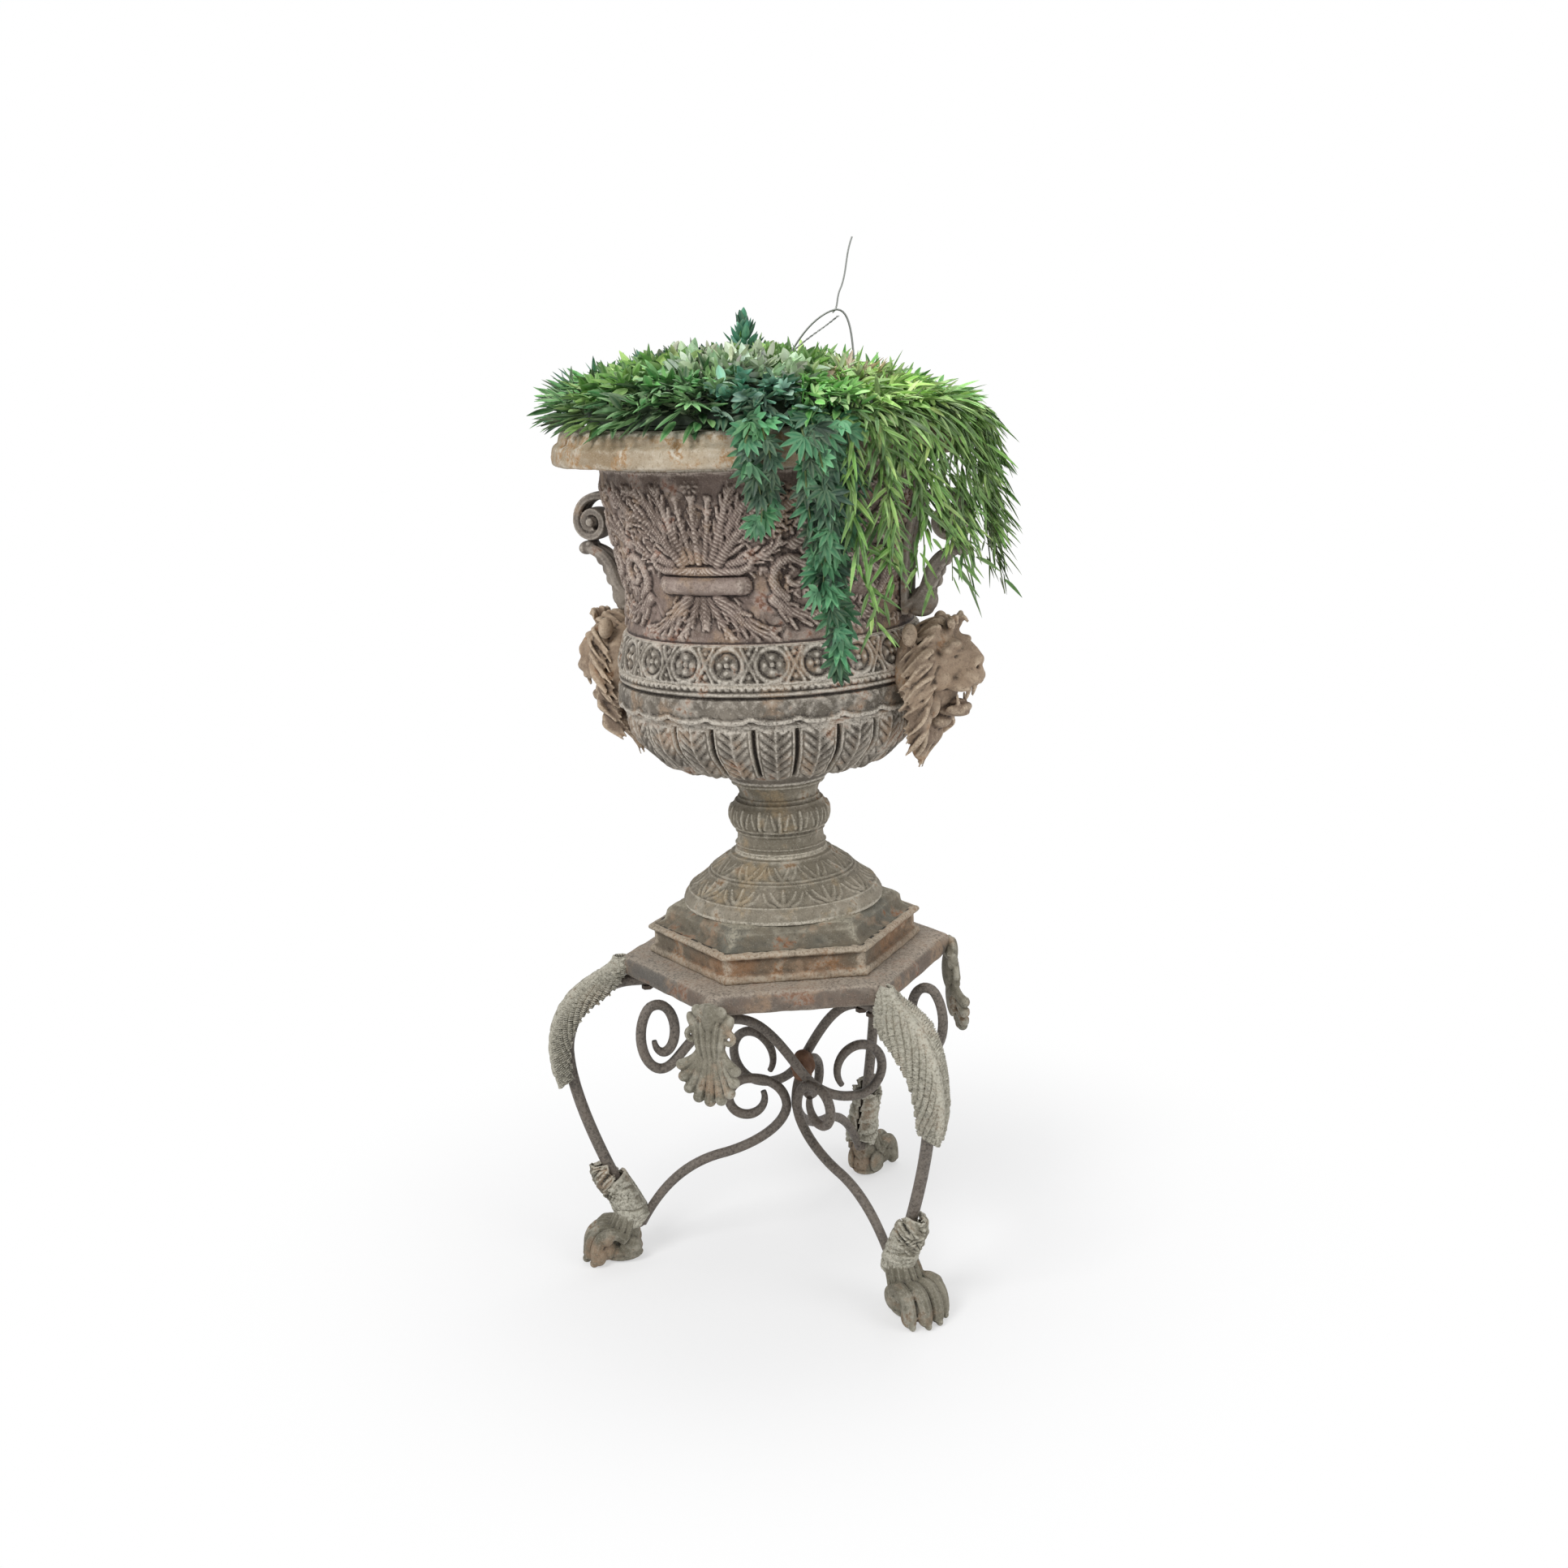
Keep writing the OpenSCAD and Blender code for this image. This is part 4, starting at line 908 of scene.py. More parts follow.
# Acanthus leaves over the knees, and the leafy cuffs of the ankles

def frame_along(path):
    """The direction and the outward side of a drawn path at each of its points."""
    step = np.gradient(path, axis=0)
    step = step / np.hypot(step[:, 0], step[:, 1])[:, None]
    outside = np.stack([-step[:, 1], step[:, 0]], 1)
    return step, outside * np.sign(outside[:, 0].sum())


def resampled(path, count):
    length = np.concatenate([[0], np.cumsum(np.hypot(*np.diff(path, axis=0).T))])
    even = np.linspace(0, length[-1], count)
    return np.stack([np.interp(even, length, path[:, 0]), np.interp(even, length, path[:, 1])], 1)


def wrapped_leaf(name, path, half, rise, reach, lobes, sweep, flare, deep, thick, scaly=0):
    """A leaf that lies round the outside of a bar. Its half width and its rise over the bar's middle change
    along it, it reaches some degrees round the bar, and it is cut into long lobes that point at its tip."""
    rows, cols = len(path), 73
    u = np.linspace(0, 1, rows)[:, None]
    v = np.linspace(-1, 1, cols)[None, :]
    side = np.abs(v)
    saw = (u * lobes - sweep * side + 0.4 * (v > 0)) % 1
    ridge = np.sin(np.pi * saw) ** 1.2
    cut = side ** 1.8
    wide = half(u)
    high = rise(u)
    tooth = cut * (0.4 * saw - 0.12)
    turn = np.radians(90 + v * (reach + 12 * cut * saw))
    carved = deep * (0.9 * np.exp(-(v / 0.09) ** 2) + (ridge - 0.5) * np.clip(side * 5, 0, 1))
    carved = carved + 0.28 * deep * np.cos(4 * np.pi * saw) * np.clip(side * 3, 0, 1)
    scales = leafy(v * wide * 1.6 + 0 * u, u * 90 + 0 * v, 3.4, scaly) if scaly else 0
    carved = carved * np.clip(wide / 14, 0.25, 1) + scales + flare(u) * (0.4 + 0.6 * cut)
    outside = frame_along(path)[1]
    along = np.clip(u * (1 - 0.07 * side * u), 0, 1)
    at = [np.interp(along, u[:, 0], path[:, k]) for k in (0, 1)]
    way = [np.interp(along, u[:, 0], outside[:, k]) for k in (0, 1)]
    across = wide * (1 + tooth) * np.cos(turn) + carved * np.cos(turn)
    above = high * np.sin(turn) + carved * np.maximum(np.sin(turn), 0.15)
    obj = grid_of(name, np.stack([at[0] + way[0] * above, -across, at[1] + way[1] * above], 2))
    modify(obj, "SOLIDIFY", thickness=thick * MM, offset=-1)
    return face_out(obj)


def shape(*pairs):
    """A value that changes along a leaf, from places and values."""
    places, values = np.array(pairs, float).T
    return lambda u: np.interp(u, places, values)


fine_rows = 1
knee_path = resampled(np.concatenate([[[211, 425], [212, 411], [218, 399], [231, 389]], leg_line[24:41]]),
                      int(170 * fine_rows))
knee = wrapped_leaf("knee_acanthus", knee_path,
                    shape((0, 3), (0.07, 10), (0.14, 16), (0.22, 25), (0.34, 28), (0.5, 24), (0.7, 18),
                          (0.9, 14), (1, 8)),
                    shape((0, 10), (0.15, 13), (0.4, 17), (0.8, 16), (1, 12)), 92, 11, 5.2,
                    lambda u: 6 * rising(u, 0.86, 0.14) ** 2, 6.5, 3.5, 1.6)
mark_relief(knee, (3, 10), 0.0006)
shin = bez([[292, 300], [293, 236], [251, 128], [212, 45]], 40)
wrap_path = resampled(shin[29:40], int(70 * fine_rows))
tongue_path = resampled(shin[25:38], int(90 * fine_rows))[::-1]
wrap_girth = shape((0, 13), (0.4, 16), (0.8, 17), (1, 15))
wrap = wrapped_leaf("ankle_wrap", wrap_path, wrap_girth, wrap_girth, 168, 4, 1.5,
                    lambda u: 2 * u ** 3, 1.6, 4, 2.6)
tongue = wrapped_leaf("ankle_tongue", tongue_path,
                      shape((0, 13), (0.4, 17), (0.75, 18), (0.92, 14), (1, 6)),
                      shape((0, 15), (0.4, 22), (0.75, 26), (1, 20)), 86, 5, 1.6,
                      lambda u: 3 * u ** 4, 1.6, 5, 2.6)
cuff = join("ankle_leaf", [wrap, tongue])
mark_relief(cuff, (3, 10), 0.0005)
dress_copies(knee, "knee_acanthus_", LEGS, LEAFWORK, "stand", "pale_iron", "knee_leaf_")
dress_copies(cuff, "ankle_leaf_", LEGS, LEAFWORK, "stand", "pale_iron", "ankle_cuff_")


# Lion's paws

def paw_parts():
    parts = lumps(
        ((232, 0, 38), (18, 19, 24)), ((242, 0, 16), (30, 23, 15)), ((226, 0, 17), (13, 18, 17)),
        ((240, 0, 6), (28, 22, 7)), ((252, 0, 32), (16, 18, 14)), ((262, 0, 22), (20, 28, 22)))
    for y, back in ((-26, 10), (-8.8, 0), (8.8, 0), (26, 10)):
        toe = bez([(244 - back, y * 0.75, 34), (262 - back, y * 0.95, 56), (288 - back, y, 44),
                   (283 - back, y, 8)], 14)
        parts.append(rod("toe", toe, np.linspace(8.6, 8.8, len(toe)), 12))
        parts += lumps(((270 - back, y, 41), (11, 9.4, 11), (0, 30, 0)),
                       ((281 - back, y, 16), (10.5, 9, 14)), ((288 - back, y, 6), (6, 4, 6)))
    for k in range(9):
        a = math.radians(-100 + 25 * k)
        parts.append(rod("flute", [(225 + 17 * math.cos(a), 18 * math.sin(a), 68),
                                   (230 + 19 * math.cos(a), 20 * math.sin(a), 54),
                                   (236 + 21 * math.cos(a), 23 * math.sin(a), 38)], [4.6, 5.2, 4], 8))
    for y in (-1, 1):
        parts.append(lump((228, y * 19, 22), (15, 6, 16), (0, 10, y * 8)))
    return parts


paw = melted("lion_paw", paw_parts(), 1.15, 2)
places = corners(paw)
places[:, 2] = np.maximum(places[:, 2], 0)
move_corners(paw, places)
mark_relief(paw, (4, 14), 0.0008)
dress_copies(paw, "lion_paw_", LEGS, LEAFWORK, "stand", "pale_iron", "paw_foot_")


# Shell pendants

def shell_parts():
    parts = lumps(
        ((213, 0, 376), (8, 19, 28)), ((216, 0, 338), (6, 27, 27)), ((214, 0, 402), (7, 29, 10)),
        ((218, 0, 408), (6, 19, 13)), ((221, 0, 402), (6, 9, 18)))
    for k in range(9):
        a = math.radians(-84 + 21 * k)
        long = 52 - 8 * abs(math.sin(a)) ** 3
        path = [(216, 14 * math.sin(a), 376), (221, 13 * math.sin(a), 354 - 4 * math.cos(a)),
                (220, 0.58 * long * math.sin(a), 348 - 0.55 * long * math.cos(a)),
                (229, 0.84 * long * math.sin(a), 346 - 0.92 * long * math.cos(a))]
        parts.append(rod("fan_rib", bez(path, 8), np.linspace(3.4, 7.2, 9), 12))
        parts.append(lump((228, 0.83 * long * math.sin(a), 346 - 0.91 * long * math.cos(a)), (7, 7.4, 7)))
    for y in (-17, -8.5, 0, 8.5, 17):
        parts.append(rod("neck_flute", [(212, y * 1.45, 406), (220, y * 1.1, 390), (223, y * 0.9, 368),
                                        (221, y * 0.8, 350)], [5, 4.8, 4.4, 3.2], 8))
    for side in (-1, 1):
        curl_line = spiral(0, 0, 9, 3, 120, -300, 16)
        parts.append(rod("leaf_curl", [(219, side * (24 + y), 378 + z) for y, z in curl_line],
                         np.linspace(4.4, 3, 17), 8))
        parts += lumps(((216, side * 23, 394), (7, 7, 14), (side * -30, 0, 0)),
                       ((218, side * 15, 410), (5, 9, 8), (side * 25, 0, 0)))
    return parts


shell = melted("shell_pendant", shell_parts(), 1.15, 1)
mark_relief(shell, (4, 12), 0.0008)
dress_copies(shell, "shell_pendant_", SHELLS, LEAFWORK, "stand", "pale_iron", "shell_")


# Lion masks

def lock(points, thick, strands=3):
    """A bundle of hair along four points, of strands that part a little and end bluntly."""
    points = np.array(points, float)
    way = points[2] - points[1]
    across = np.cross(way, [1.0, 0, 0.2])
    across = across / max(np.linalg.norm(across), 1e-6)
    made = []
    for k in range(strands):
        off = k - (strands - 1) / 2
        shift = across[None, :] * (off * thick * np.array([0.75, 1.1, 1.2, 0.9]))[:, None]
        shift[:, 0] -= abs(off) * thick * 0.35
        shift[1:3] += chance.normal(0, 2.6, (2, 3))
        shift[3] += chance.normal(0, 2.0, 3) - [2, 0, 0]
        path = bez(points + shift, 8)
        t = np.linspace(0, 1, len(path))
        size = thick * chance.uniform(0.8, 1.25)
        made.append(rod("lock", path, size * (0.8 + 0.25 * np.sin(np.pi * t)) * (1 - 0.45 * t ** 3), 8))
    return made


def lion_parts():
    parts = lumps(
        # head, brow, jaw and muzzle
        ((200, 0, -8), (30, 62, 52)), ((222, 0, 24), (27, 40, 27)), ((222, 0, -24), (24, 36, 34)),
        ((271, 0, 4), (9, 12, 8)), ((268, 0, -12), (12, 10, 12)), ((271, 0, -21), (8, 9, 6)),
        ((246, 0, 0), (25, 23, 25)), ((255, 0, -10), (20, 19, 14)), ((226, 0, -2), (33, 40, 30)),
        ((238, 0, 8), (18, 32, 20)), ((236, 0, -59), (24, 17, 7), (0, 8, 0)), ((254, 0, -55), (8, 14, 6)),
        ((240, 0, -49), (14, 9, 4), (0, -8, 0)), ((222, 0, -72), (14, 18, 10)),
        ((206, 0, -88), (16, 26, 16)), ((196, 0, -108), (11, 15, 16)))
    parts.append(rod("nose_bridge", [(242, 0, 28), (256, 0, 20), (269, 0, 8)], [11, 10, 9], 12))
    for y in (-1, 1):
        parts += lumps(
            # brow, eye and its lids
            ((247, y * 17, 23), (11, 14, 7), (y * 12, -8, y * -20)),
            ((243, y * 29, 17), (8, 9, 6), (y * 30, 0, 0)),
            ((243, y * 19, 10), (7, 8, 6)), ((247, y * 19, 14.5), (5, 9, 2.4), (0, 0, y * -15)),
            ((246, y * 20, 5), (5, 9, 2.2), (0, 0, y * -15)),
            # nostril, upper lip, cheeks, jaw, lower lip and ear
            ((270, y * 9, -1), (7, 5, 5)), ((262, y * 11, -15), (17, 11.5, 11), (0, 14, y * -10)),
            ((251, y * 20, -25), (17, 8, 7.5), (0, 14, y * -16)), ((230, y * 31, -14), (19, 15, 17)),
            ((237, y * 30, 5), (10, 10, 9)), ((220, y * 28, -46), (13, 9, 20)),
            ((247, y * 13, -57), (12, 5, 6), (0, 8, y * -22)),
            ((206, y * 55, 40), (9, 12, 14), (y * 24, 0, 0)))
        fang = [(262, y * 10, -24), (263, y * 10.5, -32), (260, y * 11, -43)]
        low_fang = [(248, y * 12, -56), (250, y * 12.5, -48), (249, y * 12.5, -39)]
        parts += [rod("fang", fang, [4.4, 3.8, 1.8], 8), rod("low_fang", low_fang, [3.6, 3, 1.6], 8)]
    for k in range(25):
        a = math.radians(-30 + 240 * k / 24)
        away = 1 if math.cos(a) > 0 else -1
        swirl = 8 * (1 if k % 2 else -1)
        fall = 10 + 20 * abs(math.cos(a))
        parts += lock([(232 - 6 * abs(math.cos(a)), 40 * math.cos(a), 2 + 38 * math.sin(a)),
                       (240, 56 * math.cos(a) + away * swirl * 0.4, 6 + 52 * math.sin(a) + swirl),
                       (224, 68 * math.cos(a), 3 + 52 * math.sin(a) - swirl),
                       (200 + 5 * (k % 3), 70 * math.cos(a), 3 + 50 * math.sin(a) - fall)], 3.1, 4)
    for k in range(16):
        side = 1 if k % 2 else -1
        j = k // 2
        y0, z0 = side * (34 + 3.5 * (j % 3)), 12 - 12 * j
        bend = 7 * (1 if j % 2 else -1)
        parts += lock([(231 - 1.6 * j, y0, z0), (238 - 2 * j, y0 + side * (15 + bend), z0 - 4),
                       (226 - 2 * j, y0 + side * (24 - 1.5 * j - bend), z0 - 16),
                       (204 - j, y0 + side * (22 - 2.2 * j), z0 - 30)], 3.1, 5)
    for k in range(7):
        y = -24 + 8 * k
        bend = 5 * (1 if k % 2 else -1)
        parts += lock([(219 - abs(y) * 0.3, y, -76), (228 - abs(y) * 0.3, y * 0.95 + bend, -90),
                       (203, y * 0.8 - bend, -104), (197, y * 0.45, -130 + abs(y) * 0.7)], 2.9, 4)
    for k in range(5):
        y = -14 + 7 * k
        parts += lock([(240, y * 0.8, 34), (249, y, 50), (250 - abs(y) * 0.5, y * 1.6, 64),
                       (258 - abs(y), y * 1.7, 48)], 3.8, 2)
    return parts


lion = melted("lion_mask", lion_parts(), 1.6, 2)
x, y, z = corners(lion).T / MM
face = rising(46 - np.abs(y), 0, 8) * rising(x, 222, 8) * rising(z, -30, 6) * rising(44 - z, 0, 6)
soften(lion, face, 9)
places = corners(lion)
places[:, 2] += MASK_Z * MM
out_r = np.hypot(places[:, 0], places[:, 1])
wall_r = np.interp(places[:, 2] / MM, np.concatenate([bowl_line[:, 1] + BOWL, body_line[:, 1] + BODY]),
                   np.concatenate([bowl_line[:, 0], body_line[:, 0]])) * MM
push = np.maximum((wall_r - 0.006) / np.maximum(out_r, 1e-6), 1)
places[:, :2] *= push[:, None]
for y in (-1, 1):
    nostril, eye = ((277, y * 7.5, -4), (7, 4.4, 3.6), 6), ((252, y * 19, 9.5), (6, 6.5, 3.2), 2.5)
    for hollow, size, depth in (nostril, eye):
        middle = np.array([hollow[0], hollow[1], MASK_Z + hollow[2]]) * MM
        near = np.linalg.norm((places - middle) / (np.array(size) * MM), axis=1)
        places[:, 0] -= np.clip(1 - near, 0, 1) * depth * MM
move_corners(lion, places)
mark_relief(lion, (4, 14), 0.0007)
dress_copies(lion, "lion_head_", MASKS, LION, "urn", "aged_iron", "lion_mask_")


# Scroll handles

def wall_at(z):
    return float(np.interp(z, body_line[:, 1] + BODY, body_line[:, 0]))


STRAP_HALF = 4.5
WALL_GAP = 0.8


def beside(z, d):
    """A place on the middle line of the handle's strap, where it lies beside the body's wall."""
    return [wall_at(z) + WALL_GAP + STRAP_HALF + d, z]


HANDLE_Z = 977
volute_line = np.concatenate([bez([
    beside(865, 3), beside(895, 3), beside(HANDLE_Z - 40, 0), beside(HANDLE_Z - 10, 0),
    beside(HANDLE_Z + 18, 0),
    [212, 1010.5], [230, 1010.5], [248, 1010.5], [263.5, 999], [263.5, HANDLE_Z]], 12),
    spiral(242, HANDLE_Z, 21.5, 7, 0, -470, 44)[1:]])
stem_path = bez([[256, 943], [244, 941], [228, 933], [222, 915], [218, 901], [213, 885],
                 beside(873, 7)], 12)


def strap(name, path, wide, thick, flutes):
    """A flat strap of upright path, with ridges along its outer side."""
    outside = frame_along(path)[1]
    wide = np.broadcast_to(np.array(wide, float), len(path))
    across = np.linspace(-1, 1, 25)
    section = [(y, thick / 2 * (0.62 + 0.38 * abs(math.cos(y * flutes * math.pi / 2)))) for y in across]
    section += [(y, -thick / 2 * (0.75 + 0.25 * math.cos(y * math.pi / 2))) for y in across[::-1]]
    rows = []
    for p, n, w in zip(path, outside, wide):
        rows.append([(p[0] + n[0] * h, y * w / 2, p[1] + n[1] * h) for y, h in section])
    points = np.array(rows)
    count = len(section)
    faces = [tuple(row * count + (j + k) % count for row, k in ((i, 0), (i, 1), (i + 1, 1), (i + 1, 0)))
             for i in range(len(path) - 1) for j in range(count)]
    faces += [tuple(range(count)), tuple(range((len(path) - 1) * count, len(path) * count))]
    return face_out(mesh_of(name, points.reshape(-1, 3) * MM, faces))


def handle_parts():
    t = np.linspace(0, 1, len(volute_line))
    parts = [strap("volute", volute_line, 32 - 4 * np.clip(t - 0.6, 0, 1), 10.5, 3)]
    parts += lumps(
        ((242, 0, 977), (8, 19.5, 8)), ((257, 0, 943), (9, 17, 9)), ((249, 0, 948), (7, 15, 6)),
        ((206, 0, 882), (17, 16, 17)), ((202, 0, 870), (15, 17, 9)))
    for y in (-10, 0, 10):
        ends = np.array(stem_path)
        size = np.interp(np.linspace(0, 1, len(ends)), [0, 0.2, 0.6, 1], [6, 7.5, 8.5, 7])
        parts.append(rod("outer_stem", upright(ends - [4, 0], y), size, 12))
    for k in range(5):
        z = 878 + 13 * k
        x = float(np.interp(z, stem_path[::-1, 1], stem_path[::-1, 0]))
        for y in (-1, 1):
            parts.append(lump((x + 2, y * 9, z), (6.5, 5, 9), (y * 20, 20, 0)))
        parts.append(lump((x + 4, 0, z + 6), (5.5, 4.5, 8), (0, 20, 0)))
    for y in (-1, 1):
        parts += lumps(((242, y * 17, 977), (5.5, 3.5, 5.5)), ((205, y * 13, 880), (10, 5, 14), (0, 14, 0)))
    return parts + lumps(((204, 0, 1022), (9, 13, 9), (0, -30, 0)), ((212, 0, 1032), (7, 10, 6)),
                         ((207, 0, 1036), (5, 6, 5)), ((233, 0, 1011), (9, 10, 4.5), (0, 10, 0)),
                         ((248, 0, 1007), (8, 9, 4), (0, 35, 0)))


handle = melted("scroll_handle", handle_parts(), 1.4, 2)
mark_relief(handle, (4, 12), 0.0006)
dress_copies(handle, "scroll_handle_", MASKS, HANDLE_COAT, "urn", "pale_iron", "handle_")


# Greenery: each leaf is one small flat spindle, laid many times over

def foliage(name, shine, edge):
    """Moulded polyethylene leaf. To the eye it has its own tint, a pale midrib and margin, and a soft
    gloss."""
    material, tree, shader = blank(name)
    tint = node(tree, "Attribute", attribute_name="tint").outputs["Color"]
    rib = node(tree, "Attribute", attribute_name="rib").outputs["Fac"]
    # Mottles of 4 mm, and shade of 25 mm between the leaves
    fine, broad = patterned(tree, (260, 3, 0.55), (40, 2, 0.55))
    pale, dark = [node(tree, "Mix", {FACTOR: share, BELOW: tint, ABOVE: colour(tone)},
                       data_type="RGBA").outputs[RESULT]
                  for share, tone in ((edge, "#c9d8a8"), (0.55, "#0b1a10"))]
    coat = coated(tree, tint,
                  (pale, (rib, 0.35, 1, 0.55, 0)),
                  (pale, (rib, 0.9, 1, 0, 0.35)),
                  (dark, (broad, 0.5, 0.62, 0, 0.72)),
                  (dark, (fine, 0.5, 0.8, 0, 0.35)))
    tree.links.new(coat, shader.inputs["Base Color"])
    tree.links.new(fading(tree, (fine, 0.3, 0.7, shine, shine + 0.2)), shader.inputs["Roughness"])
    return material


LEAF_MIXED = foliage("Artificial leaves, mixed greens", 0.5, 0.4)
LEAF_DARK = foliage("Artificial leaves, dark teal green", 0.5, 0.18)
LEAF_LIGHT = foliage("Artificial leaves, light yellow green", 0.45, 0.3)


def leaf_template():
    """A flat spindle with four sides, pointed at both ends: its length along Z, its width along X."""
    fresh()
    bpy.ops.mesh.primitive_uv_sphere_add(segments=4, ring_count=7, radius=1)
    obj = bpy.context.active_object
    points = corners(obj)
    faces = [tuple(face.vertices) for face in obj.data.polygons]
    bpy.data.objects.remove(obj)
    return points, faces


SPINDLE, SPINDLE_FACES = leaf_template()
ALONG = (SPINDLE[:, 2] + 1) / 2
RING = np.maximum(np.sqrt(np.clip(1 - SPINDLE[:, 2] ** 2, 0, 1)), 1e-6)
ACROSS = SPINDLE[:, 0] / RING * (np.abs(SPINDLE[:, 2]) < 0.999)
THICK = SPINDLE[:, 1] / RING * (np.abs(SPINDLE[:, 2]) < 0.999)


def unit(v):
    return v / np.maximum(np.linalg.norm(v, axis=-1, keepdims=True), 1e-9)


class Leaves:
    """Collects leaves, in millimetres, and lays them into one mesh."""

    def __init__(self):
        self.rows = []

    def add(self, base, way, up, length, width, droop, tint, full=0.7):
        way = unit(np.array(way, float))
        self.rows.append(np.concatenate([base, way, up, [length, width, droop, full], tint[:3]]))

    def palm(self, base, way, up, length, width, droop, tint, fingers=5, fan=68):
        """Narrow leaflets that fan from one point."""
        way = unit(np.array(way, float))
        side = unit(np.cross(way, up))
        for k in range(fingers):
            a = math.radians(fan * (2 * k / (fingers - 1) - 1))
            size = length * (0.62 + 0.38 * math.cos(a * 0.9))
            self.add(base, way * math.cos(a) + side * math.sin(a), up, size, width, droop, tint, 0.8)

    def lay(self, name):
        rows = np.array(self.rows)
        base, way, up = rows[:, None, 0:3], rows[:, None, 3:6], rows[:, None, 6:9]
        length, width, droop, full = (rows[:, k, None, None] for k in (9, 10, 11, 12))
        side = unit(np.cross(way, up))
        up = unit(np.cross(side, way))
        s = ALONG[None, :, None]
        outline = np.power(np.sin(np.pi * np.clip(s, 0, 1) ** full), 0.8)
        across = ACROSS[None, :, None] * outline * width / 2
        fold = (0.22 * (1 - np.abs(ACROSS)) + 0.05 * THICK)[None, :, None] * width * outline
        arch = np.clip(s, 0, 1) ** 1.7
        points = base + way * length * s * (1 - 0.12 * arch * droop) + side * across - up * fold
        points[:, :, 2:3] -= length * 0.45 * droop * arch
        count = len(SPINDLE)
        faces = [tuple(v + count * k for v in face) for k in range(len(rows)) for face in SPINDLE_FACES]
        obj = mesh_of(name, points.reshape(-1, 3) * MM, faces)
        tints = np.ones((len(rows), count, 4))
        tints[:, :, :3] = rows[:, None, 13:16]
        store(obj, "tint", tints.reshape(-1, 4))
        store(obj, "rib", np.tile(1 - np.abs(ACROSS), len(rows)))
        return obj


def one_tint(obj, code):
    """The leaf finish in one colour, for a piece without leaves."""
    count = len(obj.data.vertices)
    store(obj, "tint", np.tile(colour(code), (count, 1)))
    store(obj, "rib", np.full(count, 0.8))
    return obj


def shade_of(codes, spread=0.36):
    """One of several leaf colours, a little lighter or darker each time."""
    tint = np.array(colour(codes[chance.integers(len(codes))])[:3])
    return tint * (1 + spread * chance.uniform(-1, 1)) * (1 + 0.1 * chance.uniform(-1, 1, 3))


GOLDEN_ANGLE = 2.39996
MOUND_Z = 1104
MOUND_X = 280
MOUND_Y = 272
DEEP_GREENS = ["#2f6b34", "#3c8043", "#224a2c", "#56994f", "#7db070"]
TEALS = ["#3f8069", "#5c9c84", "#2c604f", "#86b5a0"]
MID_GREENS = ["#5f9440", "#7cab52", "#45782f", "#9dc070"]
DUSTY = ["#a6bd9c", "#bacbb0", "#84a07d", "#a0a59a", "#cad8c3"]
LIGHT_GREENS = ["#86b852", "#a4cf6a", "#669a3a", "#bcdc8c", "#8fb46c"]
FRESH_GREENS = ["#70b258", "#90c874", "#4e9640", "#accf8e"]
BLUSH = ["#c2a892", "#a9bb8a", "#8fae62"]
TRAIL_GREENS = ["#4f7d2e", "#6a9440", "#3d6526", "#86a857", "#5c8a34"]
TRAIL_TEALS = ["#1f5238", "#2c6a45", "#153f2a", "#3c7d55", "#5a9a6a"]
PLANTS = [
    # middle of the plant, its way of leaning, leaf length, width, droop, colours, palm share
    ((-225, -70), (-0.9, -0.35, 0.35), 46, 7, 0.4, DEEP_GREENS, 0.1),
    ((-240, 40), (-1.0, 0.1, 0.4), 46, 6.5, 0.3, TEALS, 0.1),
    ((-180, -110), (-0.5, -0.5, 0.6), 34, 10, 0.4, MID_GREENS, 0.2),
    ((-150, -190), (-0.5, -0.8, 0.3), 42, 10, 0.6, DEEP_GREENS, 0),
    ((-190, 20), (-0.4, 0.0, 0.9), 34, 9, 0.4, DEEP_GREENS, 0.3),
    ((-120, -60), (-0.3, -0.3, 0.9), 34, 12, 0.4, MID_GREENS, 0.3),
    ((-80, -200), (-0.1, -0.9, 0.4), 34, 10, 0.5, DEEP_GREENS, 0.4),
    ((-50, -110), (0.0, -0.5, 0.8), 32, 15, 0.4, DUSTY, 0.1),
    ((-90, -20), (0.0, -0.3, 0.9), 32, 14, 0.4, DUSTY, 0.3),
    ((20, -150), (0.1, -0.8, 0.6), 32, 13, 0.4, DUSTY, 0.2),
    ((-10, -225), (0.0, -0.9, 0.3), 30, 12, 0.5, TEALS, 0.5),
    ((-100, 70), (-0.2, 0.2, 1.0), 38, 11, 0.3, TEALS, 0.5),
    ((20, 20), (0.1, -0.2, 1.0), 34, 10, 0.3, MID_GREENS, 0.5),
    ((60, -70), (0.2, -0.5, 0.8), 34, 9, 0.4, MID_GREENS, 0.4),
    ((70, -180), (0.1, -0.8, 0.5), 34, 8, 0.6, FRESH_GREENS, 0.4),
    ((110, -80), (0.3, -0.3, 0.9), 36, 8, 0.5, BLUSH, 0.3),
    ((130, -160), (0.5, -0.7, 0.5), 46, 6, 0.8, LIGHT_GREENS, 0.2),
    ((200, -110), (0.8, -0.5, 0.4), 52, 6, 0.9, LIGHT_GREENS, 0.1),
    ((225, -20), (0.9, -0.1, 0.3), 52, 6, 0.9, FRESH_GREENS, 0),
    ((160, -20), (0.5, -0.1, 0.9), 44, 7, 0.5, LIGHT_GREENS, 0.3),
    ((150, 60), (0.4, 0.2, 0.9), 44, 7, 0.5, FRESH_GREENS, 0.2),
    ((200, 120), (0.8, 0.5, 0.3), 52, 7, 0.8, FRESH_GREENS, 0),
    ((80, 180), (0.2, 0.9, 0.4), 44, 9, 0.6, MID_GREENS, 0.2),
    ((-60, 200), (-0.2, 0.9, 0.4), 42, 11, 0.5, DEEP_GREENS, 0.3),
    ((-190, 150), (-0.7, 0.6, 0.3), 46, 8, 0.5, DEEP_GREENS, 0),
]
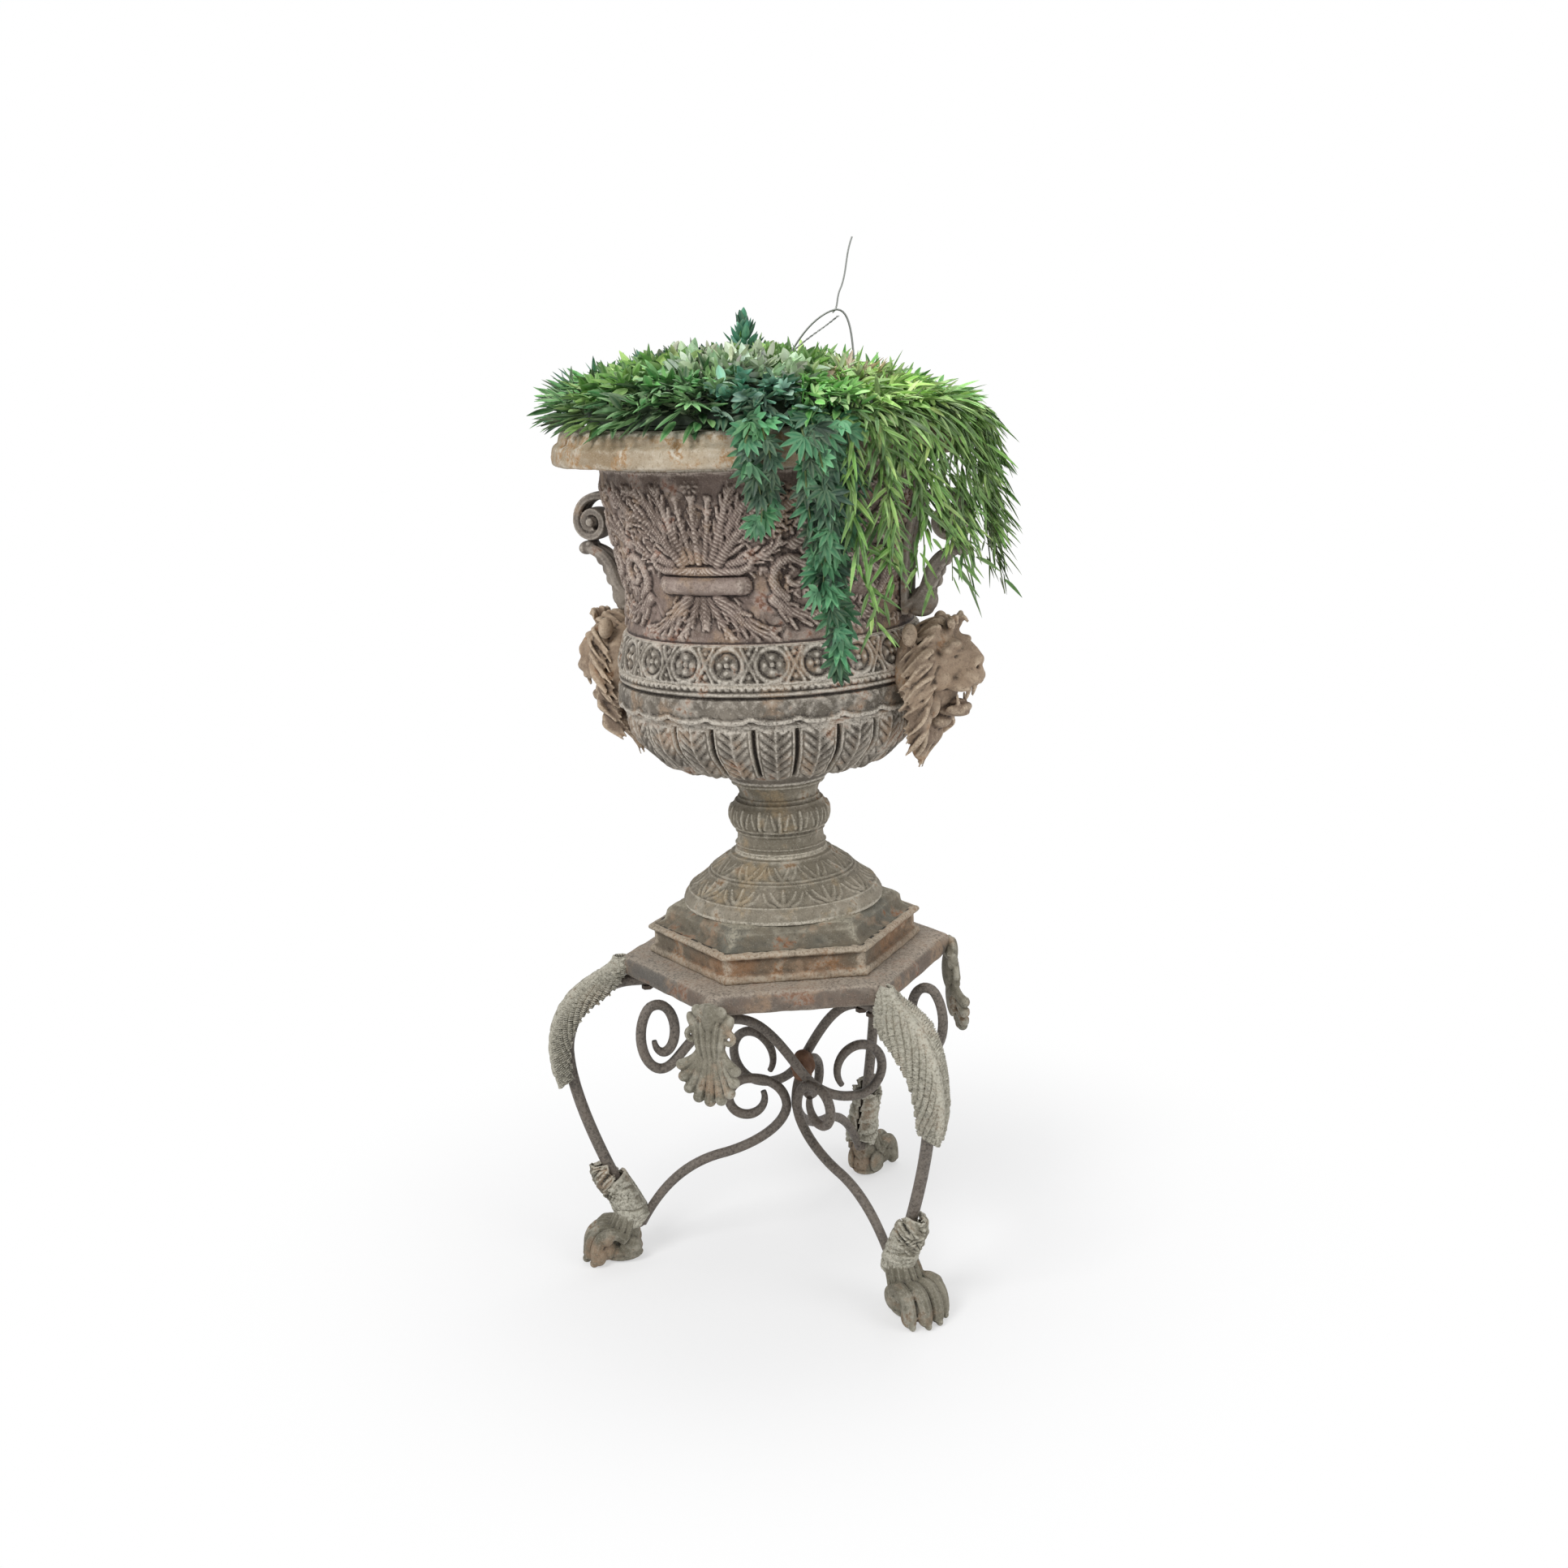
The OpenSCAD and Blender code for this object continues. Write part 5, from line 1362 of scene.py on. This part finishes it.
MOUND_STEPS = [0, 0.34, 0.58, 0.79, 0.93, 1]
MOUND_RISE = [78, 76, 66, 52, 34, 10]
RIM_LEAVES = 230
RIM_LEAF_STEP = 1.565


def mound_top(x, y):
    """How high the crowns of the leaves stand over the rim, in tufts, and lower at the right."""
    reach = np.hypot(x / MOUND_X, y / MOUND_Y)
    tufts = 6 * np.sin(x / 17 + 1.5 * np.sin(y / 23)) * np.sin(y / 19 + 1.4 * np.sin(x / 26))
    lean = 1 - 0.5 * rising(x, -20, 260) ** 1.3
    return lean * np.interp(reach, MOUND_STEPS, MOUND_RISE) + tufts * np.clip(1.2 - reach, 0, 1)


def around(azimuth, r, z):
    a = math.radians(azimuth)
    return np.array([r * math.sin(a), -r * math.cos(a), z])


middles = np.array([plant[0] for plant in PLANTS], float)


def mound_leaves(name, count, low_x, high_x):
    leaves = Leaves()
    for k in range(count):
        far = math.sqrt((k + 0.5) / count)
        a = GOLDEN_ANGLE * k
        x = 246 * far * math.cos(a) + chance.uniform(-8, 8)
        y = 248 * far * math.sin(a) + chance.uniform(-8, 8)
        if not low_x <= x < high_x:
            continue
        off = np.hypot(*(middles - [x, y]).T) * chance.uniform(0.8, 1.2, len(PLANTS))
        middle, lean, length, width, droop, codes, palms = PLANTS[int(np.argmin(off))]
        depth = chance.uniform(0, 1) ** 2
        size = length * chance.uniform(0.7, 1.15)
        top = mound_top(x, y)
        z = MOUND_Z + max(top * (1 - 0.6 * depth) - size * 0.22, 2)
        out = np.array([x / MOUND_X, y / MOUND_Y, 0.0]) * far
        from_plant = np.array([x - middle[0], y - middle[1], 0.0]) / 60
        way = np.array(lean) * 0.6 + out * 0.4 + from_plant * 0.6 + chance.normal(0, 0.5, 3) + [0, 0, 0.15]
        way[2] = max(way[2], -0.3) * 0.7 if x > 90 or y < -120 else max(way[2], 0.05)
        up = unit(np.array([0.2 * way[0], 0.2 * way[1], 1.0]) + chance.normal(0, 0.45, 3))
        # leaves that lie deeper in the mound are painted darker: painted shade among the outer leaves
        tint = shade_of(codes) * (1.2 - 0.95 * depth)
        room = 286 - math.hypot(x, y)
        size = min(size, max(room * 1.05, 20))
        if chance.uniform() < palms:
            leaves.palm((x, y, z), way, up, size * 0.85, width * 0.7, droop, tint)
        else:
            leaves.add((x, y, z), way, up, size, width, droop * chance.uniform(0.4, 1.3), tint)
    for k in range(RIM_LEAVES):
        azimuth = RIM_LEAF_STEP * k + chance.uniform(-2, 2)
        r = chance.uniform(226, 246)
        x, y, z = around(azimuth, r, MOUND_Z + chance.uniform(1, 18))
        codes = PLANTS[int(np.argmin(np.hypot(*(middles - [x, y]).T)))][5]
        size, tint = chance.uniform(30, 46), shade_of(codes) * chance.uniform(0.65, 1.1)
        way = around(azimuth + chance.uniform(-38, 38), 1, chance.uniform(-0.4, 0.25))
        if low_x <= x < high_x:
            up = unit(np.array([0, 0, 1.0]) + chance.normal(0, 0.3, 3))
            leaves.add((x, y, z), way, up, size, 10, 0.5, tint)
    return leaves.lay(name)


def painted_shade_core():
    """A dark mass below the planting's outer leaves: painted shade that stands for the shaded depths among
    them.
    """
    fresh()
    bpy.ops.mesh.primitive_uv_sphere_add(segments=64, ring_count=24, radius=1)
    obj = bpy.context.active_object
    obj.name = "foliage_shade_core"
    points = corners(obj)
    x, y = points[:, 0] * 212, points[:, 1] * 206
    rough = 4 * np.sin(x / 9 + 2 * np.sin(y / 13)) * np.sin(y / 8 + 1.4 * np.sin(x / 11))
    z = MOUND_Z + np.maximum(points[:, 2], 0) ** 0.7 * 40 + np.where(points[:, 2] > 0.02, rough, 0)
    move_corners(obj, np.stack([x, y, np.maximum(z, MOUND_Z)], 1) * MM)
    # one very dark green: painted shade deep inside the planting
    return one_tint(obj, "#1d3520")


def planted(obj, finish, slot, *nodes):
    return dress(obj, finish, "planting", slot, *nodes, angle=30)


LEAF_COUNT = 3150
MOUND_SPLIT = -30
for obj in (painted_shade_core(),
            mound_leaves("mixed_leaves_left", LEAF_COUNT, -300, MOUND_SPLIT),
            mound_leaves("mixed_leaves_right", LEAF_COUNT, MOUND_SPLIT, 300)):
    planted(obj, LEAF_MIXED, "leaves_mixed", "leaf_mound")


def top_sprig():
    leaves = Leaves()
    for k in range(46):
        a = GOLDEN_ANGLE * k
        h = k / 45
        r = 12 * (1 - h)
        base = np.array([-16 + r * math.cos(a), -14 + r * math.sin(a), MOUND_Z + 66 + 44 * h])
        way = np.array([math.cos(a) * (1 - 0.7 * h), math.sin(a) * (1 - 0.7 * h), 0.5 + 1.2 * h])
        leaves.add(base, way, unit(np.array([-math.cos(a) * 0.4, -math.sin(a) * 0.4, 1.0])),
                   24 * (1 - 0.35 * h) + 4 * (k % 3), 10, 0.25, shade_of(TEALS), 0.8)
    return leaves.lay("teal_sprig")


planted(top_sprig(), LEAF_DARK, "leaves_dark", "top_sprig")


def strand(leaves, stems, azimuth, turn, low, r_top, r_low, gap, kind, codes, size, width):
    """One stem that comes over the rim and hangs, with leaves on both sides of it."""
    start, over_rim = MOUND_Z + 6, MOUND_Z - 2
    path = [around(azimuth, 225, start), around(azimuth, 250, start + 5), around(azimuth, r_top, over_rim)]
    span = over_rim - low
    steps_down = max(int(span / 14), 3)
    for k in range(1, steps_down + 1):
        t = k / steps_down
        sway = 1.6 * math.sin(t * 5 + azimuth)
        r = r_top + (r_low - r_top) * t + 2 * math.sin(7 * t)
        path.append(around(azimuth + turn * t + sway, r, over_rim - span * t))
    path = np.array(path)
    smooth = bez(path[:3 * ((len(path) - 1) // 3) + 1], 6)
    stems.append(rod("stem", smooth, np.linspace(1.3, 0.7, len(smooth)), 4))
    length = np.concatenate([[0], np.cumsum(np.linalg.norm(np.diff(smooth, axis=0), axis=1))])
    count = int(length[-1] / gap)
    for k in range(count):
        at = length[-1] * (k + 0.7) / count
        base = np.array([np.interp(at, length, smooth[:, j]) for j in range(3)])
        along = unit(np.array([np.interp(at + 4, length, smooth[:, j]) for j in range(3)]) - base + 1e-6)
        out = unit(np.array([base[0], base[1], 0.0]))
        across = np.cross(out, [0, 0, 1.0])
        side = 1 if k % 2 else -1
        tint = shade_of(codes)
        if kind == "palm":
            way = along * 0.75 + across * side * 0.75 + out * 0.25 + chance.normal(0, 0.15, 3)
            leaves.palm(base + chance.normal(0, 3, 3), way,
                        unit(out + [0, 0, 0.35] + chance.normal(0, 0.35, 3)),
                        size * chance.uniform(0.6, 1.15), width, 0.35, tint)
        else:
            thin = (k + 0.5) / count
            for twin in (-1, 1, 0):
                if chance.uniform() < 0.75 * thin ** 2:
                    continue
                way = (along * chance.uniform(0.2, 1) + across * (twin + chance.uniform(-0.5, 0.5)) * 0.7
                       + out * chance.uniform(-0.1, 0.7))
                leaves.add(base + chance.normal(0, 4, 3), way,
                           unit(out + [0, 0, 0.4] + chance.normal(0, 0.4, 3)),
                           size * chance.uniform(0.5, 1.15), width, 0.6, shade_of(codes), 0.75)


def trail(name, finish, slot, nodes, strands, kind, codes, size, width, gap):
    leaves, stems = Leaves(), []
    for azimuth, turn, low, r_top, r_low in strands:
        strand(leaves, stems, azimuth, turn, low, r_top, r_low, gap, kind, codes, size, width)
    planted(leaves.lay(name + "_leaves"), finish, slot, *nodes)
    planted(one_tint(join(name + "_stems", stems), "#5c6b3a"), finish, slot, *nodes)


DARK_STRANDS = [(0, 2, 972, 272, 266), (-4, 5, 1005, 270, 268), (12, 6, 810, 274, 262),
                (9, 7, 868, 280, 264), (16, 2, 845, 272, 252), (19, 2, 930, 276, 262),
                (-2, 0, 985, 278, 270), (14, 3, 828, 278, 262), (12, 2, 900, 284, 272)]
trail("dark_trail", LEAF_DARK, "leaves_dark", ["dark_trail"], DARK_STRANDS, "palm",
      TRAIL_TEALS, 27, 7.5, 12)
LIGHT_STRANDS = [(22 + 3.7 * k + 2 * math.sin(3.1 * k), 6 * math.sin(1.7 * k),
                  873 + 80 * abs(math.sin(2.3 * k)), 264 + 9 * abs(math.sin(1.9 * k)),
                  270 + 26 * abs(math.cos(1.3 * k))) for k in range(23)]
trail("light_trail", LEAF_LIGHT, "leaves_light", ["light_trail"], LIGHT_STRANDS, "blade",
      TRAIL_GREENS, 40, 5, 8)


# Hanger wires

def twisted(name, path, thick, turns):
    """Two thin wires wound round one line."""
    path = np.array(path, float)
    strands = []
    for phase in (0, math.pi):
        points = []
        for k, p in enumerate(path):
            a = phase + turns * math.tau * k / (len(path) - 1)
            points.append(p + [thick * math.cos(a), thick * math.sin(a), 0])
        strands.append(rod(name, points, thick * 0.6, 8))
    return strands


# Drawn and zinc-dipped wire: dull grey metal, too thin to show a pattern
WIRE, _, wire_shader = blank("Galvanised steel wire, dull")
for key, value in (("Base Color", colour("#7d7f7c")), ("Metallic", 0.85), ("Roughness", 0.45)):
    wire_shader.inputs[key].default_value = value
hanger = [rod("arch", bez([(22, 10, 1140), (38, 8, 1180), (62, 4, 1214), (90, 0, 1224), (112, -4, 1232),
                           (116, -6, 1205), (116, -8, 1140)], 14), 1.3, 10),
          rod("hook", bez([(92, 0, 1222), (101, 0, 1228), (96, 0, 1238), (104, 0, 1252), (112, 0, 1272),
                           (110, 0, 1288), (119, 0, 1309)], 12), 1.2, 10)]
twist_line = bez([(18, -30, 1150), (40, -24, 1186), (70, -10, 1196), (99, -1, 1218)], 60)
hanger += twisted("twisted_wire", twist_line, 1.0, 9)
wires = join("hanger_wires", hanger)
dress(wires, WIRE, "planting", "wire_steel", "hanger_wire")


# Plain finishes for the small parts that keep their CAD shape

def plain(name, base, rough, metal=0.0, grain=120):
    """One colour with darker specks, of a size set by the cells in a metre."""
    material, tree, shader = blank(name)
    fine = patterned(tree, (grain, 4, 0.55))[0]
    dark = tuple(c * 0.55 for c in colour(base)[:3]) + (1,)
    coat = coated(tree, dark, (base, (fine, 0.35, 0.65, 0, 1)))
    dull = fading(tree, (fine, 0.3, 0.7, rough, min(rough + 0.2, 1)))
    tree.links.new(coat, shader.inputs["Base Color"])
    tree.links.new(dull, shader.inputs["Roughness"])
    shader.inputs["Metallic"].default_value = metal
    return material


# Turned steel browned outdoors: a dull sheen with specks of 8 mm
FASTENER = plain("Steel fastener, brown with age", "#6e6258", 0.55, 0.7)
# Dipped wire: an even green with a soft sheen
FRAME_WIRE = plain("Green plastic-coated basket wire", "#3c4a3a", 0.5)
# Pressed coir: matte, with fibres seen as specks of 3 mm
LINER = plain("Coconut fibre liner", "#6b4e33", 0.95, 0, 320)
# Cut foam: matte, with pores seen as specks of 5 mm
FOAM = plain("Growing foam, dark", "#2c2a22", 0.95, 0, 200)
KEPT = {"leg_bolts": FASTENER, "tie_rod": FASTENER, "tie_nuts": FASTENER, "tie_washers": FASTENER,
        "flange_bolts": FASTENER, "flange_nuts": FASTENER, "mask_bolts": FASTENER, "handle_bolts": FASTENER,
        "basket_frame": FRAME_WIRE, "basket_liner": LINER, "growing_foam": FOAM}
for name, finish in KEPT.items():
    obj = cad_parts[name]
    obj.data.materials.clear()
    obj.data.materials.append(finish)


# Stage, light and camera

def from_camera(tree):
    """1 for a ray that comes from the camera, also by way of a reflection or through glass."""
    path = node(tree, "LightPath").outputs
    seen = path["Is Camera Ray"]
    for kind in ("Is Glossy Ray", "Is Transmission Ray"):
        seen = node(tree, "Math", {0: seen, 1: path[kind]}, operation="MAXIMUM").outputs[0]
    return seen


def stage():
    fresh()
    bpy.ops.mesh.primitive_plane_add(size=14, location=(0, 0, 0))
    floor = bpy.context.active_object
    floor.name = "studio_floor"
    material, tree, shader = blank("Studio floor, matte white")
    shader.inputs["Base Color"].default_value = colour("#f4f4f4")
    shader.inputs["Roughness"].default_value = 0.9
    place = node(tree, "TexCoord").outputs["Object"]
    away = node(tree, "VectorMath", {0: place}, operation="LENGTH").outputs["Value"]
    glow = node(tree, "Emission", {"Color": (1, 1, 1, 1), "Strength": 1.0}).outputs[0]
    far = fading(tree, (away, 0.3, 0.85, 0.52, 1))
    fade = node(tree, "Math", {0: from_camera(tree), 1: far}, operation="MULTIPLY").outputs[0]
    mixed = node(tree, "MixShader", {"Fac": fade, 1: shader.outputs[0], 2: glow}).outputs[0]
    tree.links.new(mixed, tree.nodes["Material Output"].inputs["Surface"])
    floor.data.materials.append(material)


stage()

world = bpy.data.worlds.new("Studio")
bpy.context.scene.world = world
world.use_nodes = True
sky = world.node_tree
for old in list(sky.nodes):
    sky.nodes.remove(old)
soft = node(sky, "Background", {"Color": colour("#f2f3f5"), "Strength": 0.5}).outputs[0]
white = node(sky, "Background", {"Color": (1, 1, 1, 1), "Strength": 1.0}).outputs[0]
mixed = node(sky, "MixShader", {"Fac": from_camera(sky), 1: soft, 2: white}).outputs[0]
node(sky, "OutputWorld", {"Surface": mixed})


def lamp(name, place, target, size, power):
    data = bpy.data.lights.new(name, "AREA")
    data.shape = "DISK"
    data.size = size
    data.energy = power
    obj = bpy.data.objects.new(name, data)
    obj.location = place
    obj.rotation_euler = (Vector(target) - Vector(place)).to_track_quat("-Z", "Y").to_euler()
    bpy.context.collection.objects.link(obj)
    return obj


lamp("key_light", (-1.6, -2.2, 3.0), (0, 0, 0.6), 1.6, 70)
lamp("fill_light", (2.4, -1.8, 1.8), (0, 0, 0.6), 2.0, 28)
lamp("top_light", (0.3, 0.6, 3.4), (0, 0, 0.5), 1.8, 30)

# The photo's camera, as fitted to the plate, the level rims and the upright axis
EYE = (0.0074, -2.2736, 1.1822)
LOOK_DOWN = 13.39
ROLL = 2.665
FOCAL = 41.93
camera_data = bpy.data.cameras.new("camera")
camera_data.sensor_width = 36
camera_data.sensor_fit = "HORIZONTAL"
camera_data.lens = FOCAL
camera = bpy.data.objects.new("camera", camera_data)
bpy.context.collection.objects.link(camera)
camera.matrix_world = (Matrix.Translation(EYE)
                       @ Matrix.Rotation(math.radians(90 - LOOK_DOWN), 4, "X")
                       @ Matrix.Rotation(math.radians(-ROLL), 4, "Z"))
bpy.context.scene.camera = camera
bpy.context.scene.view_settings.view_transform = "Standard"
